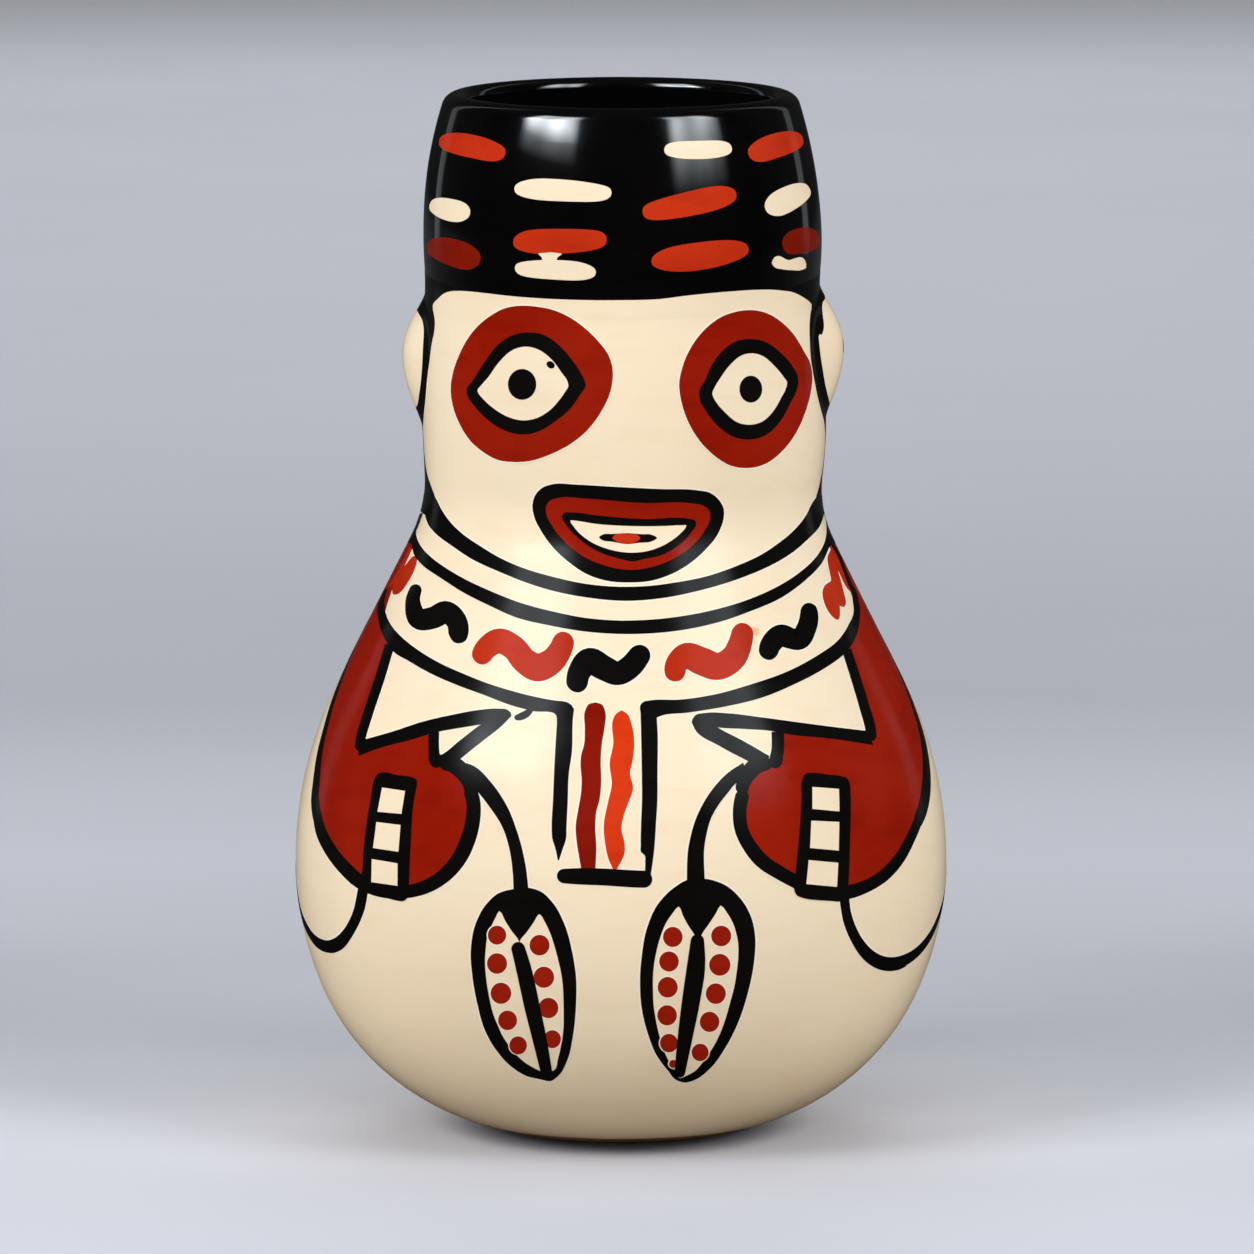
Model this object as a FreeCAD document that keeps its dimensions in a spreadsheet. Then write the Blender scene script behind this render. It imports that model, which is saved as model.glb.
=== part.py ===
import FreeCAD, Part
import os
import Sketcher

# Open-mouthed effigy jar, hand built in clay: a flat foot slab, two belly walls, a face wall, a cap
# wall and a rolled rim, closed inside by seam coils, with one pressed lug ear on each side.
# The jar stands on z = 0 with its axis on Z. The face looks towards -Y and the ears are at -X and +X.

doc = FreeCAD.newDocument("effigy_jar")
sizes = doc.addObject("Spreadsheet::Sheet", "Sizes")
sizes.Label = "Sizes"

# Driving sizes in millimetres and degrees, one per row: alias, value, what it measures.
driving = [
    ("foot_radius", "17.25", "flat part of the foot"),
    ("belly_radius", "69", "outside, at the widest level"),
    ("belly_level", "57.5", "ground to the widest level"),
    ("shoulder_rise", "79.6", "widest level to the waist under the chin"),
    ("neck_radius", "42", "outside, at the waist"),
    ("cheek_rise", "17.9", "waist to the widest level of the cheeks"),
    ("cheek_out", "0.75", "cheeks beyond the waist"),
    ("brow_rise", "23.5", "cheeks to the brow seam"),
    ("brow_drawn_in", "1.1", "brow inside the cheeks"),
    ("cap_rise", "10.5", "brow seam to the widest level of the cap"),
    ("cap_out", "0.4", "cap beyond the brow"),
    ("crest_rise", "31", "widest level of the cap to the crest of the rim"),
    ("rim_drawn_in", "7.65", "crest inside the widest level of the cap"),
    ("clay_thickness", "5.5", "of every wall and of the floor"),
    ("heel_turn", "22", "direction in which the heel curve meets the bowl curve, degrees below level"),
    ("shoulder_fullness", "0.828", "sum of shoulder and waist curves over the most that fits between them"),
    ("waist_curve", "25.8", "hollow profile radius of the waist"),
    ("brow_curve", "62", "hollow profile radius at the brow"),
    ("lip_outer_rounding", "3.5", "outside rounding of the rim"),
    ("lip_inner_rounding", "2.3", "inside rounding of the rim"),
    ("slab_radius", "34.5", "foot slab outside, at its seam"),
    ("slab_bevel", "5", "foot slab smaller inside than outside"),
    ("belly_bevel", "5", "fall of the belly seam from outside to inside"),
    ("neck_bevel", "5", "fall of the neck seam along the wall"),
    ("brow_bevel", "4.4", "fall of the brow seam from outside to inside"),
    ("rim_height", "7", "rim coil outside, crest to seam"),
    ("rim_bevel", "5", "fall of the rim seam from outside to inside"),
    ("coil_rise", "2.2", "height of a pressed seam coil"),
    ("base_coil_half", "4.7", "half width of the coil on the slab seam"),
    ("ear_height", "32.7", "upright full size of a pressed ear lug"),
    ("ear_width", "33", "full size of the lug around the wall"),
    ("ear_reach", "4.1", "an ear beyond the wall"),
    ("ear_bury", "4.5", "depth of an ear's middle inside the wall face"),
    ("ear_rise", "9.2", "middle of the ears above the widest level of the cheeks"),
    ("ear_turn", "4", "ears turned behind the side line, degrees"),
]

# Values worked out from the driving sizes. A point of the profile has two cells, NAME_x and NAME_z.
worked = [
    ("waist_level", "belly_level + shoulder_rise"),
    ("cheek_level", "waist_level + cheek_rise"),
    ("brow_level", "cheek_level + brow_rise"),
    ("cap_level", "brow_level + cap_rise"),
    ("total_height", "cap_level + crest_rise"),
    ("cheek_radius", "neck_radius + cheek_out"),
    ("brow_radius", "cheek_radius - brow_drawn_in"),
    ("cap_radius", "brow_radius + cap_out"),
    ("crest_radius", "cap_radius - rim_drawn_in"),
    # profile radii that make neighbouring curves meet smoothly
    ("bowl_reach", "belly_radius - foot_radius"),
    ("heel_share", "cos(heel_turn) + sin(heel_turn) - 1"),
    ("bowl_curve", "(belly_level * cos(heel_turn) - bowl_reach * (1 - sin(heel_turn))) / heel_share"),
    ("heel_curve", "(bowl_reach * sin(heel_turn) - belly_level * (1 - cos(heel_turn))) / heel_share"),
    ("shoulder_fall", "belly_radius - neck_radius"),
    ("shoulder_most", "(shoulder_rise^2 + shoulder_fall^2) / (2 * shoulder_fall)"),
    ("shoulder_curve", "shoulder_most * shoulder_fullness - waist_curve"),
    ("chin_sum", "(cheek_rise^2 + cheek_out^2) / (2 * cheek_out)"),
    ("jaw_curve", "chin_sum - waist_curve"),
    ("temple_sum", "(brow_rise^2 + brow_drawn_in^2) / (2 * brow_drawn_in)"),
    ("temple_curve", "temple_sum - brow_curve"),
    ("cap_foot_sum", "(cap_rise^2 + cap_out^2) / (2 * cap_out)"),
    ("cap_foot_curve", "cap_foot_sum - brow_curve"),
    ("lip_mid_z", "total_height - lip_outer_rounding"),
    ("lip_above_cap", "lip_mid_z - cap_level"),
    ("cap_top_part", "rim_drawn_in^2 + lip_above_cap^2 - lip_outer_rounding^2"),
    ("cap_curve", "cap_top_part / (2 * (rim_drawn_in - lip_outer_rounding))"),
    # inside profile radii, one clay thickness in
    ("heel_inside", "heel_curve - clay_thickness"),
    ("bowl_inside", "bowl_curve - clay_thickness"),
    ("shoulder_inside", "shoulder_curve - clay_thickness"),
    ("waist_inside", "waist_curve + clay_thickness"),
    ("jaw_inside", "jaw_curve - clay_thickness"),
    ("temple_inside", "temple_curve - clay_thickness"),
    ("brow_inside", "brow_curve + clay_thickness"),
    ("cap_foot_inside", "cap_foot_curve - clay_thickness"),
    ("cap_inside", "cap_curve - clay_thickness"),
    # centres of the profile arcs
    ("bowl_mid_x", "belly_radius - bowl_curve"),
    ("bowl_mid_z", "belly_level"),
    ("heel_mid_x", "foot_radius"),
    ("heel_mid_z", "heel_curve"),
    ("shoulder_mid_x", "belly_radius - shoulder_curve"),
    ("shoulder_mid_z", "belly_level"),
    ("waist_mid_x", "neck_radius + waist_curve"),
    ("waist_mid_z", "waist_level"),
    ("jaw_mid_x", "cheek_radius - jaw_curve"),
    ("jaw_mid_z", "cheek_level"),
    ("temple_mid_x", "cheek_radius - temple_curve"),
    ("temple_mid_z", "cheek_level"),
    ("brow_mid_x", "brow_radius + brow_curve"),
    ("brow_mid_z", "brow_level"),
    ("cap_foot_mid_x", "cap_radius - cap_foot_curve"),
    ("cap_foot_mid_z", "cap_level"),
    ("cap_mid_x", "cap_radius - cap_curve"),
    ("cap_mid_z", "cap_level"),
    ("lip_mid_x", "crest_radius"),
    ("lip_inner_mid_x", "crest_radius"),
    ("lip_inner_mid_z", "total_height - lip_inner_rounding"),
    # directions in which neighbouring arcs touch each other
    ("slope_reach", "sqrt((waist_mid_x - shoulder_mid_x)^2 + shoulder_rise^2)"),
    ("slope_base", "atan2(shoulder_rise; waist_mid_x - shoulder_mid_x)"),
    ("slope_turn", "slope_base - acos((shoulder_curve + waist_curve) / slope_reach)"),
    ("chin_turn", "asin(cheek_rise / chin_sum)"),
    ("temple_turn", "asin(brow_rise / temple_sum)"),
    ("cap_foot_turn", "asin(cap_rise / cap_foot_sum)"),
    ("lip_turn", "asin(lip_above_cap / (cap_curve - lip_outer_rounding))"),
    ("rim_out_turn", "asin((crest_rise - rim_height) / cap_curve)"),
    ("rim_in_turn", "asin((crest_rise - rim_height - rim_bevel) / cap_inside)"),
    ("brow_in_turn", "asin(brow_bevel / brow_inside)"),
    ("belly_in_turn", "asin(belly_bevel / bowl_inside)"),
    ("belly_coil_turn", "2 * belly_in_turn"),
    ("slab_out_turn", "asin((slab_radius - foot_radius) / heel_curve)"),
    ("slab_in_turn", "asin((slab_radius - slab_bevel - foot_radius) / heel_inside)"),
    ("base_coil_turn", "asin(base_coil_half / heel_inside)"),
    # foot slab
    ("foot_x", "foot_radius"),
    ("floor_x", "foot_radius"),
    ("floor_z", "clay_thickness"),
    ("slab_out_x", "slab_radius"),
    ("slab_out_z", "heel_curve - heel_curve * cos(slab_out_turn)"),
    ("slab_in_x", "slab_radius - slab_bevel"),
    ("slab_in_z", "heel_curve - heel_inside * cos(slab_in_turn)"),
    # lower belly
    ("heel_end_x", "bowl_mid_x + bowl_curve * cos(heel_turn)"),
    ("heel_end_z", "belly_level - bowl_curve * sin(heel_turn)"),
    ("heel_end_in_x", "bowl_mid_x + bowl_inside * cos(heel_turn)"),
    ("heel_end_in_z", "belly_level - bowl_inside * sin(heel_turn)"),
    ("belly_out_x", "belly_radius"),
    ("belly_out_z", "belly_level"),
    ("belly_in_x", "belly_radius - clay_thickness"),
    ("belly_in_z", "belly_level"),
    ("belly_tuck_x", "bowl_mid_x + bowl_inside * cos(belly_in_turn)"),
    ("belly_tuck_z", "belly_level - belly_bevel"),
    # shoulder
    ("slope_low_x", "shoulder_mid_x + shoulder_curve * cos(slope_turn)"),
    ("slope_low_z", "belly_level + shoulder_curve * sin(slope_turn)"),
    ("slope_low_in_x", "shoulder_mid_x + shoulder_inside * cos(slope_turn)"),
    ("slope_low_in_z", "belly_level + shoulder_inside * sin(slope_turn)"),
    ("neck_out_x", "waist_mid_x - waist_curve * cos(slope_turn)"),
    ("neck_out_z", "waist_level - waist_curve * sin(slope_turn)"),
    ("neck_in_x", "waist_mid_x - waist_inside * cos(slope_turn)"),
    ("neck_in_z", "waist_level - waist_inside * sin(slope_turn)"),
    ("neck_tuck_x", "neck_in_x + neck_bevel * sin(slope_turn)"),
    ("neck_tuck_z", "neck_in_z - neck_bevel * cos(slope_turn)"),
    # face
    ("chin_x", "waist_mid_x - waist_curve * cos(chin_turn)"),
    ("chin_z", "waist_level + waist_curve * sin(chin_turn)"),
    ("chin_in_x", "waist_mid_x - waist_inside * cos(chin_turn)"),
    ("chin_in_z", "waist_level + waist_inside * sin(chin_turn)"),
    ("cheek_x", "cheek_radius"),
    ("cheek_z", "cheek_level"),
    ("cheek_in_x", "cheek_radius - clay_thickness"),
    ("cheek_in_z", "cheek_level"),
    ("temple_x", "brow_mid_x - brow_curve * cos(temple_turn)"),
    ("temple_z", "brow_level - brow_curve * sin(temple_turn)"),
    ("temple_in_x", "brow_mid_x - brow_inside * cos(temple_turn)"),
    ("temple_in_z", "brow_level - brow_inside * sin(temple_turn)"),
    ("brow_out_x", "brow_radius"),
    ("brow_out_z", "brow_level"),
    ("brow_tuck_x", "brow_mid_x - brow_inside * cos(brow_in_turn)"),
    ("brow_tuck_z", "brow_level - brow_bevel"),
    # cap
    ("cap_low_x", "brow_mid_x - brow_curve * cos(cap_foot_turn)"),
    ("cap_low_z", "brow_level + brow_curve * sin(cap_foot_turn)"),
    ("cap_low_in_x", "brow_mid_x - brow_inside * cos(cap_foot_turn)"),
    ("cap_low_in_z", "brow_level + brow_inside * sin(cap_foot_turn)"),
    ("cap_out_x", "cap_radius"),
    ("cap_out_z", "cap_level"),
    ("cap_in_x", "cap_radius - clay_thickness"),
    ("cap_in_z", "cap_level"),
    ("rim_out_x", "cap_mid_x + cap_curve * cos(rim_out_turn)"),
    ("rim_out_z", "total_height - rim_height"),
    ("rim_in_x", "cap_mid_x + cap_inside * cos(rim_in_turn)"),
    ("rim_in_z", "total_height - rim_height - rim_bevel"),
    # rim
    ("lip_low_x", "cap_mid_x + cap_curve * cos(lip_turn)"),
    ("lip_low_z", "cap_level + cap_curve * sin(lip_turn)"),
    ("crest_x", "crest_radius"),
    ("crest_z", "total_height"),
    ("mouth_x", "crest_radius - lip_inner_rounding"),
    ("mouth_z", "total_height - lip_inner_rounding"),
    # seam coils: both ends lie on the inside face, the same distance from the seam
    ("base_coil_low_x", "heel_mid_x + heel_inside * sin(slab_in_turn - base_coil_turn)"),
    ("base_coil_low_z", "heel_curve - heel_inside * cos(slab_in_turn - base_coil_turn)"),
    ("base_coil_high_x", "heel_mid_x + heel_inside * sin(slab_in_turn + base_coil_turn)"),
    ("base_coil_high_z", "heel_curve - heel_inside * cos(slab_in_turn + base_coil_turn)"),
    ("base_coil_curve", "base_coil_half^2 / (2 * coil_rise) + coil_rise / 2"),
    ("belly_coil_low_x", "bowl_mid_x + bowl_inside * cos(belly_coil_turn)"),
    ("belly_coil_low_z", "belly_level - bowl_inside * sin(belly_coil_turn)"),
    ("belly_coil_half", "belly_bevel"),
    ("belly_coil_curve", "belly_coil_half^2 / (2 * coil_rise) + coil_rise / 2"),
    ("neck_coil_low_x", "neck_in_x + 2 * neck_bevel * sin(slope_turn)"),
    ("neck_coil_low_z", "neck_in_z - 2 * neck_bevel * cos(slope_turn)"),
    ("neck_coil_curve", "neck_bevel^2 / (2 * coil_rise) + coil_rise / 2"),
    # ears
    ("ear_depth", "ear_reach + ear_bury"),
    ("ear_half_height", "ear_height / 2"),
    ("ear_half_width", "ear_width / 2"),
    ("ear_level", "cheek_level + ear_rise"),
    ("ear_wall_x", "temple_mid_x + sqrt(temple_curve^2 - ear_rise^2)"),
    ("ear_mid_radius", "ear_wall_x - ear_bury"),
]

row = 1
for alias, value, meaning in driving:
    sizes.set("A%d" % row, alias)
    sizes.set("B%d" % row, value)
    sizes.set("C%d" % row, meaning)
    sizes.setAlias("B%d" % row, alias)
    row += 1
for alias, formula in worked:
    sizes.set("A%d" % row, alias)
    sizes.setAlias("B%d" % row, alias)
    sizes.set("B%d" % row, "=" + formula)
    row += 1
doc.recompute()
worked_names = {entry[0] for entry in worked}


def size(alias):
    """Number held by one named cell."""
    value = sizes.get(alias)
    return float(getattr(value, "Value", value))


def point(name):
    """Corner of a section from its two named cells; a missing cell means zero."""
    across = size(name + "_x") if name + "_x" in worked_names else 0.0
    up = size(name + "_z") if name + "_z" in worked_names else 0.0
    return FreeCAD.Vector(across, up, 0.0)


def turned_wall(node, corners, edges):
    """Body made by one full turn of a closed section about Z.

    corners: names of points in order round the section. A corner written ("axis", NAME) sits on the
    jar's axis at the height of NAME. edges: one per corner, to the next corner, either "line" or
    ("arc", centre name, radius alias) or ("bulge", radius alias), an arc of that radius that bends
    to the right of the way from its corner to the next.
    """
    body = doc.addObject("PartDesign::Body", node + "_body")
    body.Label = node
    sketch = body.newObject("Sketcher::SketchObject", node + "_section")
    plane = [f for f in body.Origin.OriginFeatures if f.Role == "XZ_Plane"][0]
    sketch.AttachmentSupport = [(plane, "")]
    sketch.MapMode = "FlatFace"
    places = []
    for corner in corners:
        if isinstance(corner, tuple):
            places.append(FreeCAD.Vector(0.0, point(corner[1]).y, 0.0))
        else:
            places.append(point(corner))
    count = len(corners)
    ends = []
    radii = []
    for i in range(count):
        a = places[i]
        b = places[(i + 1) % count]
        edge = edges[i]
        if edge == "line":
            number = sketch.addGeometry(Part.LineSegment(a, b), False)
            ends.append((number, 1, 2))
            continue
        if edge[0] == "arc":
            centre = point(edge[1])
            radius = size(edge[2])
            radius_name = edge[2]
        else:
            radius = size(edge[1])
            radius_name = edge[1]
            half = (b - a) * 0.5
            rise = max(radius * radius - half.dot(half), 0.0) ** 0.5
            left = FreeCAD.Vector(-half.y, half.x, 0.0).normalize()
            centre = a + half + left * rise
        start = a - centre
        finish = b - centre
        turn = start.x * finish.y - start.y * finish.x
        circle = Part.Circle(centre, FreeCAD.Vector(0, 0, 1), radius)
        if turn > 0:
            arc = Part.ArcOfCircle(circle, circle.parameter(a), circle.parameter(b))
            number = sketch.addGeometry(arc, False)
            ends.append((number, 1, 2))
        else:
            arc = Part.ArcOfCircle(circle, circle.parameter(b), circle.parameter(a))
            number = sketch.addGeometry(arc, False)
            ends.append((number, 2, 1))
        radii.append((number, radius, radius_name))
    for i in range(count):
        here = ends[i]
        after = ends[(i + 1) % count]
        sketch.addConstraint(Sketcher.Constraint("Coincident", here[0], here[2], after[0], after[1]))
    for i in range(count):
        number, first, last = ends[i]
        corner = corners[i]
        name = corner[1] if isinstance(corner, tuple) else corner
        if isinstance(corner, tuple) or name + "_x" not in worked_names:
            sketch.addConstraint(Sketcher.Constraint("PointOnObject", number, first, -2))
        else:
            rule = Sketcher.Constraint("DistanceX", -1, 1, number, first, places[i].x)
            at = sketch.addConstraint(rule)
            sketch.setExpression("Constraints[%d]" % at, "Sizes.%s_x" % name)
        if name + "_z" not in worked_names:
            sketch.addConstraint(Sketcher.Constraint("PointOnObject", number, first, -1))
        else:
            rule = Sketcher.Constraint("DistanceY", -1, 1, number, first, places[i].y)
            at = sketch.addConstraint(rule)
            sketch.setExpression("Constraints[%d]" % at, "Sizes.%s_z" % name)
    for number, radius, radius_name in radii:
        at = sketch.addConstraint(Sketcher.Constraint("Radius", number, radius))
        sketch.setExpression("Constraints[%d]" % at, "Sizes.%s" % radius_name)
    whole = body.newObject("PartDesign::Revolution", node + "_turn")
    whole.Profile = sketch
    whole.ReferenceAxis = (sketch, ["V_Axis"])
    whole.Angle = 360.0
    return body


# Foot slab: a flat clay disc whose edge curls up; the bevelled edge carries the lower belly wall.
foot_slab = turned_wall(
    "foot_slab",
    ["floor_middle", "foot", "slab_out", "slab_in", "floor", ("axis", "floor")],
    ["line", ("arc", "heel_mid", "heel_curve"), "line", ("arc", "heel_mid", "heel_inside"), "line", "line"],
)

# Coil pressed over the slab seam, inside.
base_seam_coil = turned_wall(
    "base_seam_coil",
    ["base_coil_low", "base_coil_high"],
    [("arc", "heel_mid", "heel_inside"), ("bulge", "base_coil_curve")],
)

# Lower belly wall: from the slab seam out to the widest level.
lower_belly_wall = turned_wall(
    "lower_belly_wall",
    ["slab_out", "heel_end", "belly_out", "belly_tuck", "heel_end_in", "slab_in"],
    [
        ("arc", "heel_mid", "heel_curve"),
        ("arc", "bowl_mid", "bowl_curve"),
        "line",
        ("arc", "bowl_mid", "bowl_inside"),
        ("arc", "heel_mid", "heel_inside"),
        "line",
    ],
)

# Coil pressed over the belly seam, inside.
belly_seam_coil = turned_wall(
    "belly_seam_coil",
    ["belly_coil_low", "belly_in"],
    [("arc", "bowl_mid", "bowl_inside"), ("bulge", "belly_coil_curve")],
)

# Upper belly wall: the shoulder, then a straight slope up to the neck seam.
upper_belly_wall = turned_wall(
    "upper_belly_wall",
    ["belly_out", "slope_low", "neck_out", "neck_tuck", "slope_low_in", "belly_in", "belly_tuck"],
    [
        ("arc", "shoulder_mid", "shoulder_curve"),
        "line",
        "line",
        "line",
        ("arc", "shoulder_mid", "shoulder_inside"),
        ("arc", "bowl_mid", "bowl_inside"),
        "line",
    ],
)

# Coil pressed over the neck seam, inside.
neck_seam_coil = turned_wall(
    "neck_seam_coil",
    ["neck_coil_low", "neck_in"],
    ["line", ("bulge", "neck_coil_curve")],
)

# Face wall: the waist under the chin, the cheeks and the hollow up to the brow seam.
face_wall = turned_wall(
    "face_wall",
    [
        "neck_out",
        "chin",
        "cheek",
        "temple",
        "brow_out",
        "brow_tuck",
        "temple_in",
        "cheek_in",
        "chin_in",
        "neck_in",
        "neck_tuck",
    ],
    [
        ("arc", "waist_mid", "waist_curve"),
        ("arc", "jaw_mid", "jaw_curve"),
        ("arc", "temple_mid", "temple_curve"),
        ("arc", "brow_mid", "brow_curve"),
        "line",
        ("arc", "brow_mid", "brow_inside"),
        ("arc", "temple_mid", "temple_inside"),
        ("arc", "jaw_mid", "jaw_inside"),
        ("arc", "waist_mid", "waist_inside"),
        "line",
        "line",
    ],
)

# Cap wall: from the brow seam up to the rim seam.
cap_wall = turned_wall(
    "cap_wall",
    ["brow_out", "cap_low", "cap_out", "rim_out", "rim_in", "cap_in", "cap_low_in", "brow_tuck"],
    [
        ("arc", "brow_mid", "brow_curve"),
        ("arc", "cap_foot_mid", "cap_foot_curve"),
        ("arc", "cap_mid", "cap_curve"),
        "line",
        ("arc", "cap_mid", "cap_inside"),
        ("arc", "cap_foot_mid", "cap_foot_inside"),
        ("arc", "brow_mid", "brow_inside"),
        "line",
    ],
)

# Rim coil: the rolled lip round the mouth.
rim_coil = turned_wall(
    "rim_coil",
    ["rim_out", "lip_low", "crest", "mouth", "rim_in"],
    [
        ("arc", "cap_mid", "cap_curve"),
        ("arc", "lip_mid", "lip_outer_rounding"),
        ("arc", "lip_inner_mid", "lip_inner_rounding"),
        "line",
        "line",
    ],
)

# Filled head, only used to shape the back of the ears to the wall.
head_core = turned_wall(
    "head_core",
    [("axis", "neck_out"), "neck_out", "chin", "cheek", "temple", "cap_low", "cap_out", ("axis", "cap_out")],
    [
        "line",
        ("arc", "waist_mid", "waist_curve"),
        ("arc", "jaw_mid", "jaw_curve"),
        ("arc", "temple_mid", "temple_curve"),
        ("arc", "brow_mid", "brow_curve"),
        ("arc", "cap_foot_mid", "cap_foot_curve"),
        "line",
        "line",
    ],
)


def pressed_ear(node, side):
    """Lug of clay pressed on the head wall, hollowed at the back to fit it; side is -1 or +1."""
    lump = doc.addObject("Part::Ellipsoid", node + "_lump")
    lump.setExpression("Radius1", "Sizes.ear_half_height")
    lump.setExpression("Radius2", "Sizes.ear_depth")
    lump.setExpression("Radius3", "Sizes.ear_half_width")
    lump.setExpression("Placement.Base.x", "%d * Sizes.ear_mid_radius * cos(Sizes.ear_turn)" % side)
    lump.setExpression("Placement.Base.y", "Sizes.ear_mid_radius * sin(Sizes.ear_turn)")
    lump.setExpression("Placement.Base.z", "Sizes.ear_level")
    lump.setExpression("Placement.Rotation.Angle", "%d * Sizes.ear_turn" % side)
    ear = doc.addObject("Part::Cut", node + "_cut")
    ear.Base = lump
    ear.Tool = head_core
    ear.Label = node
    return ear


left_ear = pressed_ear("left_ear", -1)
right_ear = pressed_ear("right_ear", 1)

doc.recompute()

nodes = [
    foot_slab,
    base_seam_coil,
    lower_belly_wall,
    belly_seam_coil,
    upper_belly_wall,
    neck_seam_coil,
    face_wall,
    cap_wall,
    rim_coil,
    left_ear,
    right_ear,
]

for thing in doc.Objects:
    states = list(thing.State)
    if "Invalid" in states or "Error" in states:
        raise RuntimeError("%s did not compute: %s" % (thing.Label, states))

os.makedirs("parts", exist_ok=True)
for thing in nodes:
    shape = thing.Shape
    if shape.isNull() or not shape.isValid():
        raise RuntimeError("%s has no valid shape" % thing.Label)
    if len(shape.Solids) != 1:
        raise RuntimeError("%s has %d solids" % (thing.Label, len(shape.Solids)))
    shape.exportStep("parts/%s.step" % thing.Label)
    print(thing.Label, "volume", round(shape.Volume, 1))
print("total height", round(size("total_height"), 3), "crest radius", round(size("crest_radius"), 3))
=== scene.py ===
import bpy
import numpy as np
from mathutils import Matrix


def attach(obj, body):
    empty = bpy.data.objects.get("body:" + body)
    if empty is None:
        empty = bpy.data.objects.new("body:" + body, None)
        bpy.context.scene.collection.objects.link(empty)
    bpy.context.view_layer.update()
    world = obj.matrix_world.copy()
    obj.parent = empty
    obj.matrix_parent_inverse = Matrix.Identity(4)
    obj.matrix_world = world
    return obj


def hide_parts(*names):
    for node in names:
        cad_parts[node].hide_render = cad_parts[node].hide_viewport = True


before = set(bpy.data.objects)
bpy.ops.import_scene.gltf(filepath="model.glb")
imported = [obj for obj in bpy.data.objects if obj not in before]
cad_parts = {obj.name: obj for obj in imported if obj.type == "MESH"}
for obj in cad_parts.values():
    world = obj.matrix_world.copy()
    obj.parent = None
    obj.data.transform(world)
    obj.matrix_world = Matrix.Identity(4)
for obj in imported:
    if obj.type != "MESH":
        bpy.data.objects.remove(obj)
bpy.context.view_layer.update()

MM = 0.001

# The photographer's place: a long lens two and a half metres from the jar, level with its brow
# and looking down a little. Points of the painting are named by the photograph's pixels and laid
# on the clay along these same sight lines.
PHOTO_SIDE = 1254
AXIS_PIXEL = 621.0
CAMERA_AWAY = 2500.0
CAMERA_TILT = np.radians(8.06)
AIM_LEVEL = 106.6
PIXELS_PER_MM = 4.74
SENSOR_WIDTH = 36.0

aim = np.array([(PHOTO_SIDE / 2 - AXIS_PIXEL) / PIXELS_PER_MM, 0.0, AIM_LEVEL])
eye = aim + CAMERA_AWAY * np.array([0.0, -1.0, np.tan(CAMERA_TILT)])
sight = (aim - eye) / np.linalg.norm(aim - eye)
right_way = np.array([1.0, 0.0, 0.0])
up_way = np.cross(right_way, sight)
lens_pixels = PIXELS_PER_MM * np.linalg.norm(aim - eye)

camera = bpy.data.objects.new("camera", bpy.data.cameras.new("camera"))
bpy.context.scene.collection.objects.link(camera)
camera.location = eye * MM
camera.rotation_euler = (np.pi / 2 - CAMERA_TILT, 0.0, 0.0)
camera.data.sensor_width = SENSOR_WIDTH
camera.data.lens = lens_pixels / PHOTO_SIDE * SENSOR_WIDTH
camera.data.clip_end = 60.0
bpy.context.scene.camera = camera

# The foot: a flat slab of clay, the first thing the potter pats out. It is left unslipped and
# rough underneath, and its bevelled edge takes the lowest belly wall.
FOOT_RADIUS = 17.25
SLAB_RADIUS = 34.5
SLAB_BEVEL = 5.0
BELLY_RADIUS = 69.0
BELLY_LEVEL = 57.5
CLAY = 5.5
BURNISHED_OFF = 0.22
HEEL_TURN = np.radians(22.0)
SHARP_TURN = np.radians(35.0)
FOOT_MIDDLE = [[0.0, 0.0], [6.0, 0.0], [12.0, 0.0]]
SLAB_MIDDLE = [[9.0, CLAY], [0.0, CLAY]]
LEANS = ((0.7, 146.0, 15.0), (0.35, 186.0, 14.0))

belly_reach = BELLY_RADIUS - FOOT_RADIUS
heel_share = np.cos(HEEL_TURN) + np.sin(HEEL_TURN) - 1
heel_curve = (belly_reach * np.sin(HEEL_TURN) - BELLY_LEVEL * (1 - np.cos(HEEL_TURN))) / heel_share
slab_turn = np.arcsin((SLAB_RADIUS - FOOT_RADIUS) / heel_curve) - np.pi / 2
slab_in_turn = np.arcsin((SLAB_RADIUS - SLAB_BEVEL - FOOT_RADIUS) / (heel_curve - CLAY)) - np.pi / 2


def arc_line(arc, depth, count=240):
    """Points (radius, height) of an arc: its middle plus its curve times each direction. The curve
    is below nought where the wall is hollow; depth is how far inside the clay the line runs."""
    mid_r, mid_z, curve, first, last = arc
    turn = np.linspace(first, last, count)
    return np.stack([mid_r + (curve - depth) * np.cos(turn), mid_z + (curve - depth) * np.sin(turn)], 1)


def hand_lean(z):
    """Sideways lean of the hand-built axis at a height: two soft swells, at neck and brow, each
    (how far out, level, half height)."""
    return sum(out * np.exp(-(((z - level) / half) ** 2)) for out, level, half in LEANS)


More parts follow.
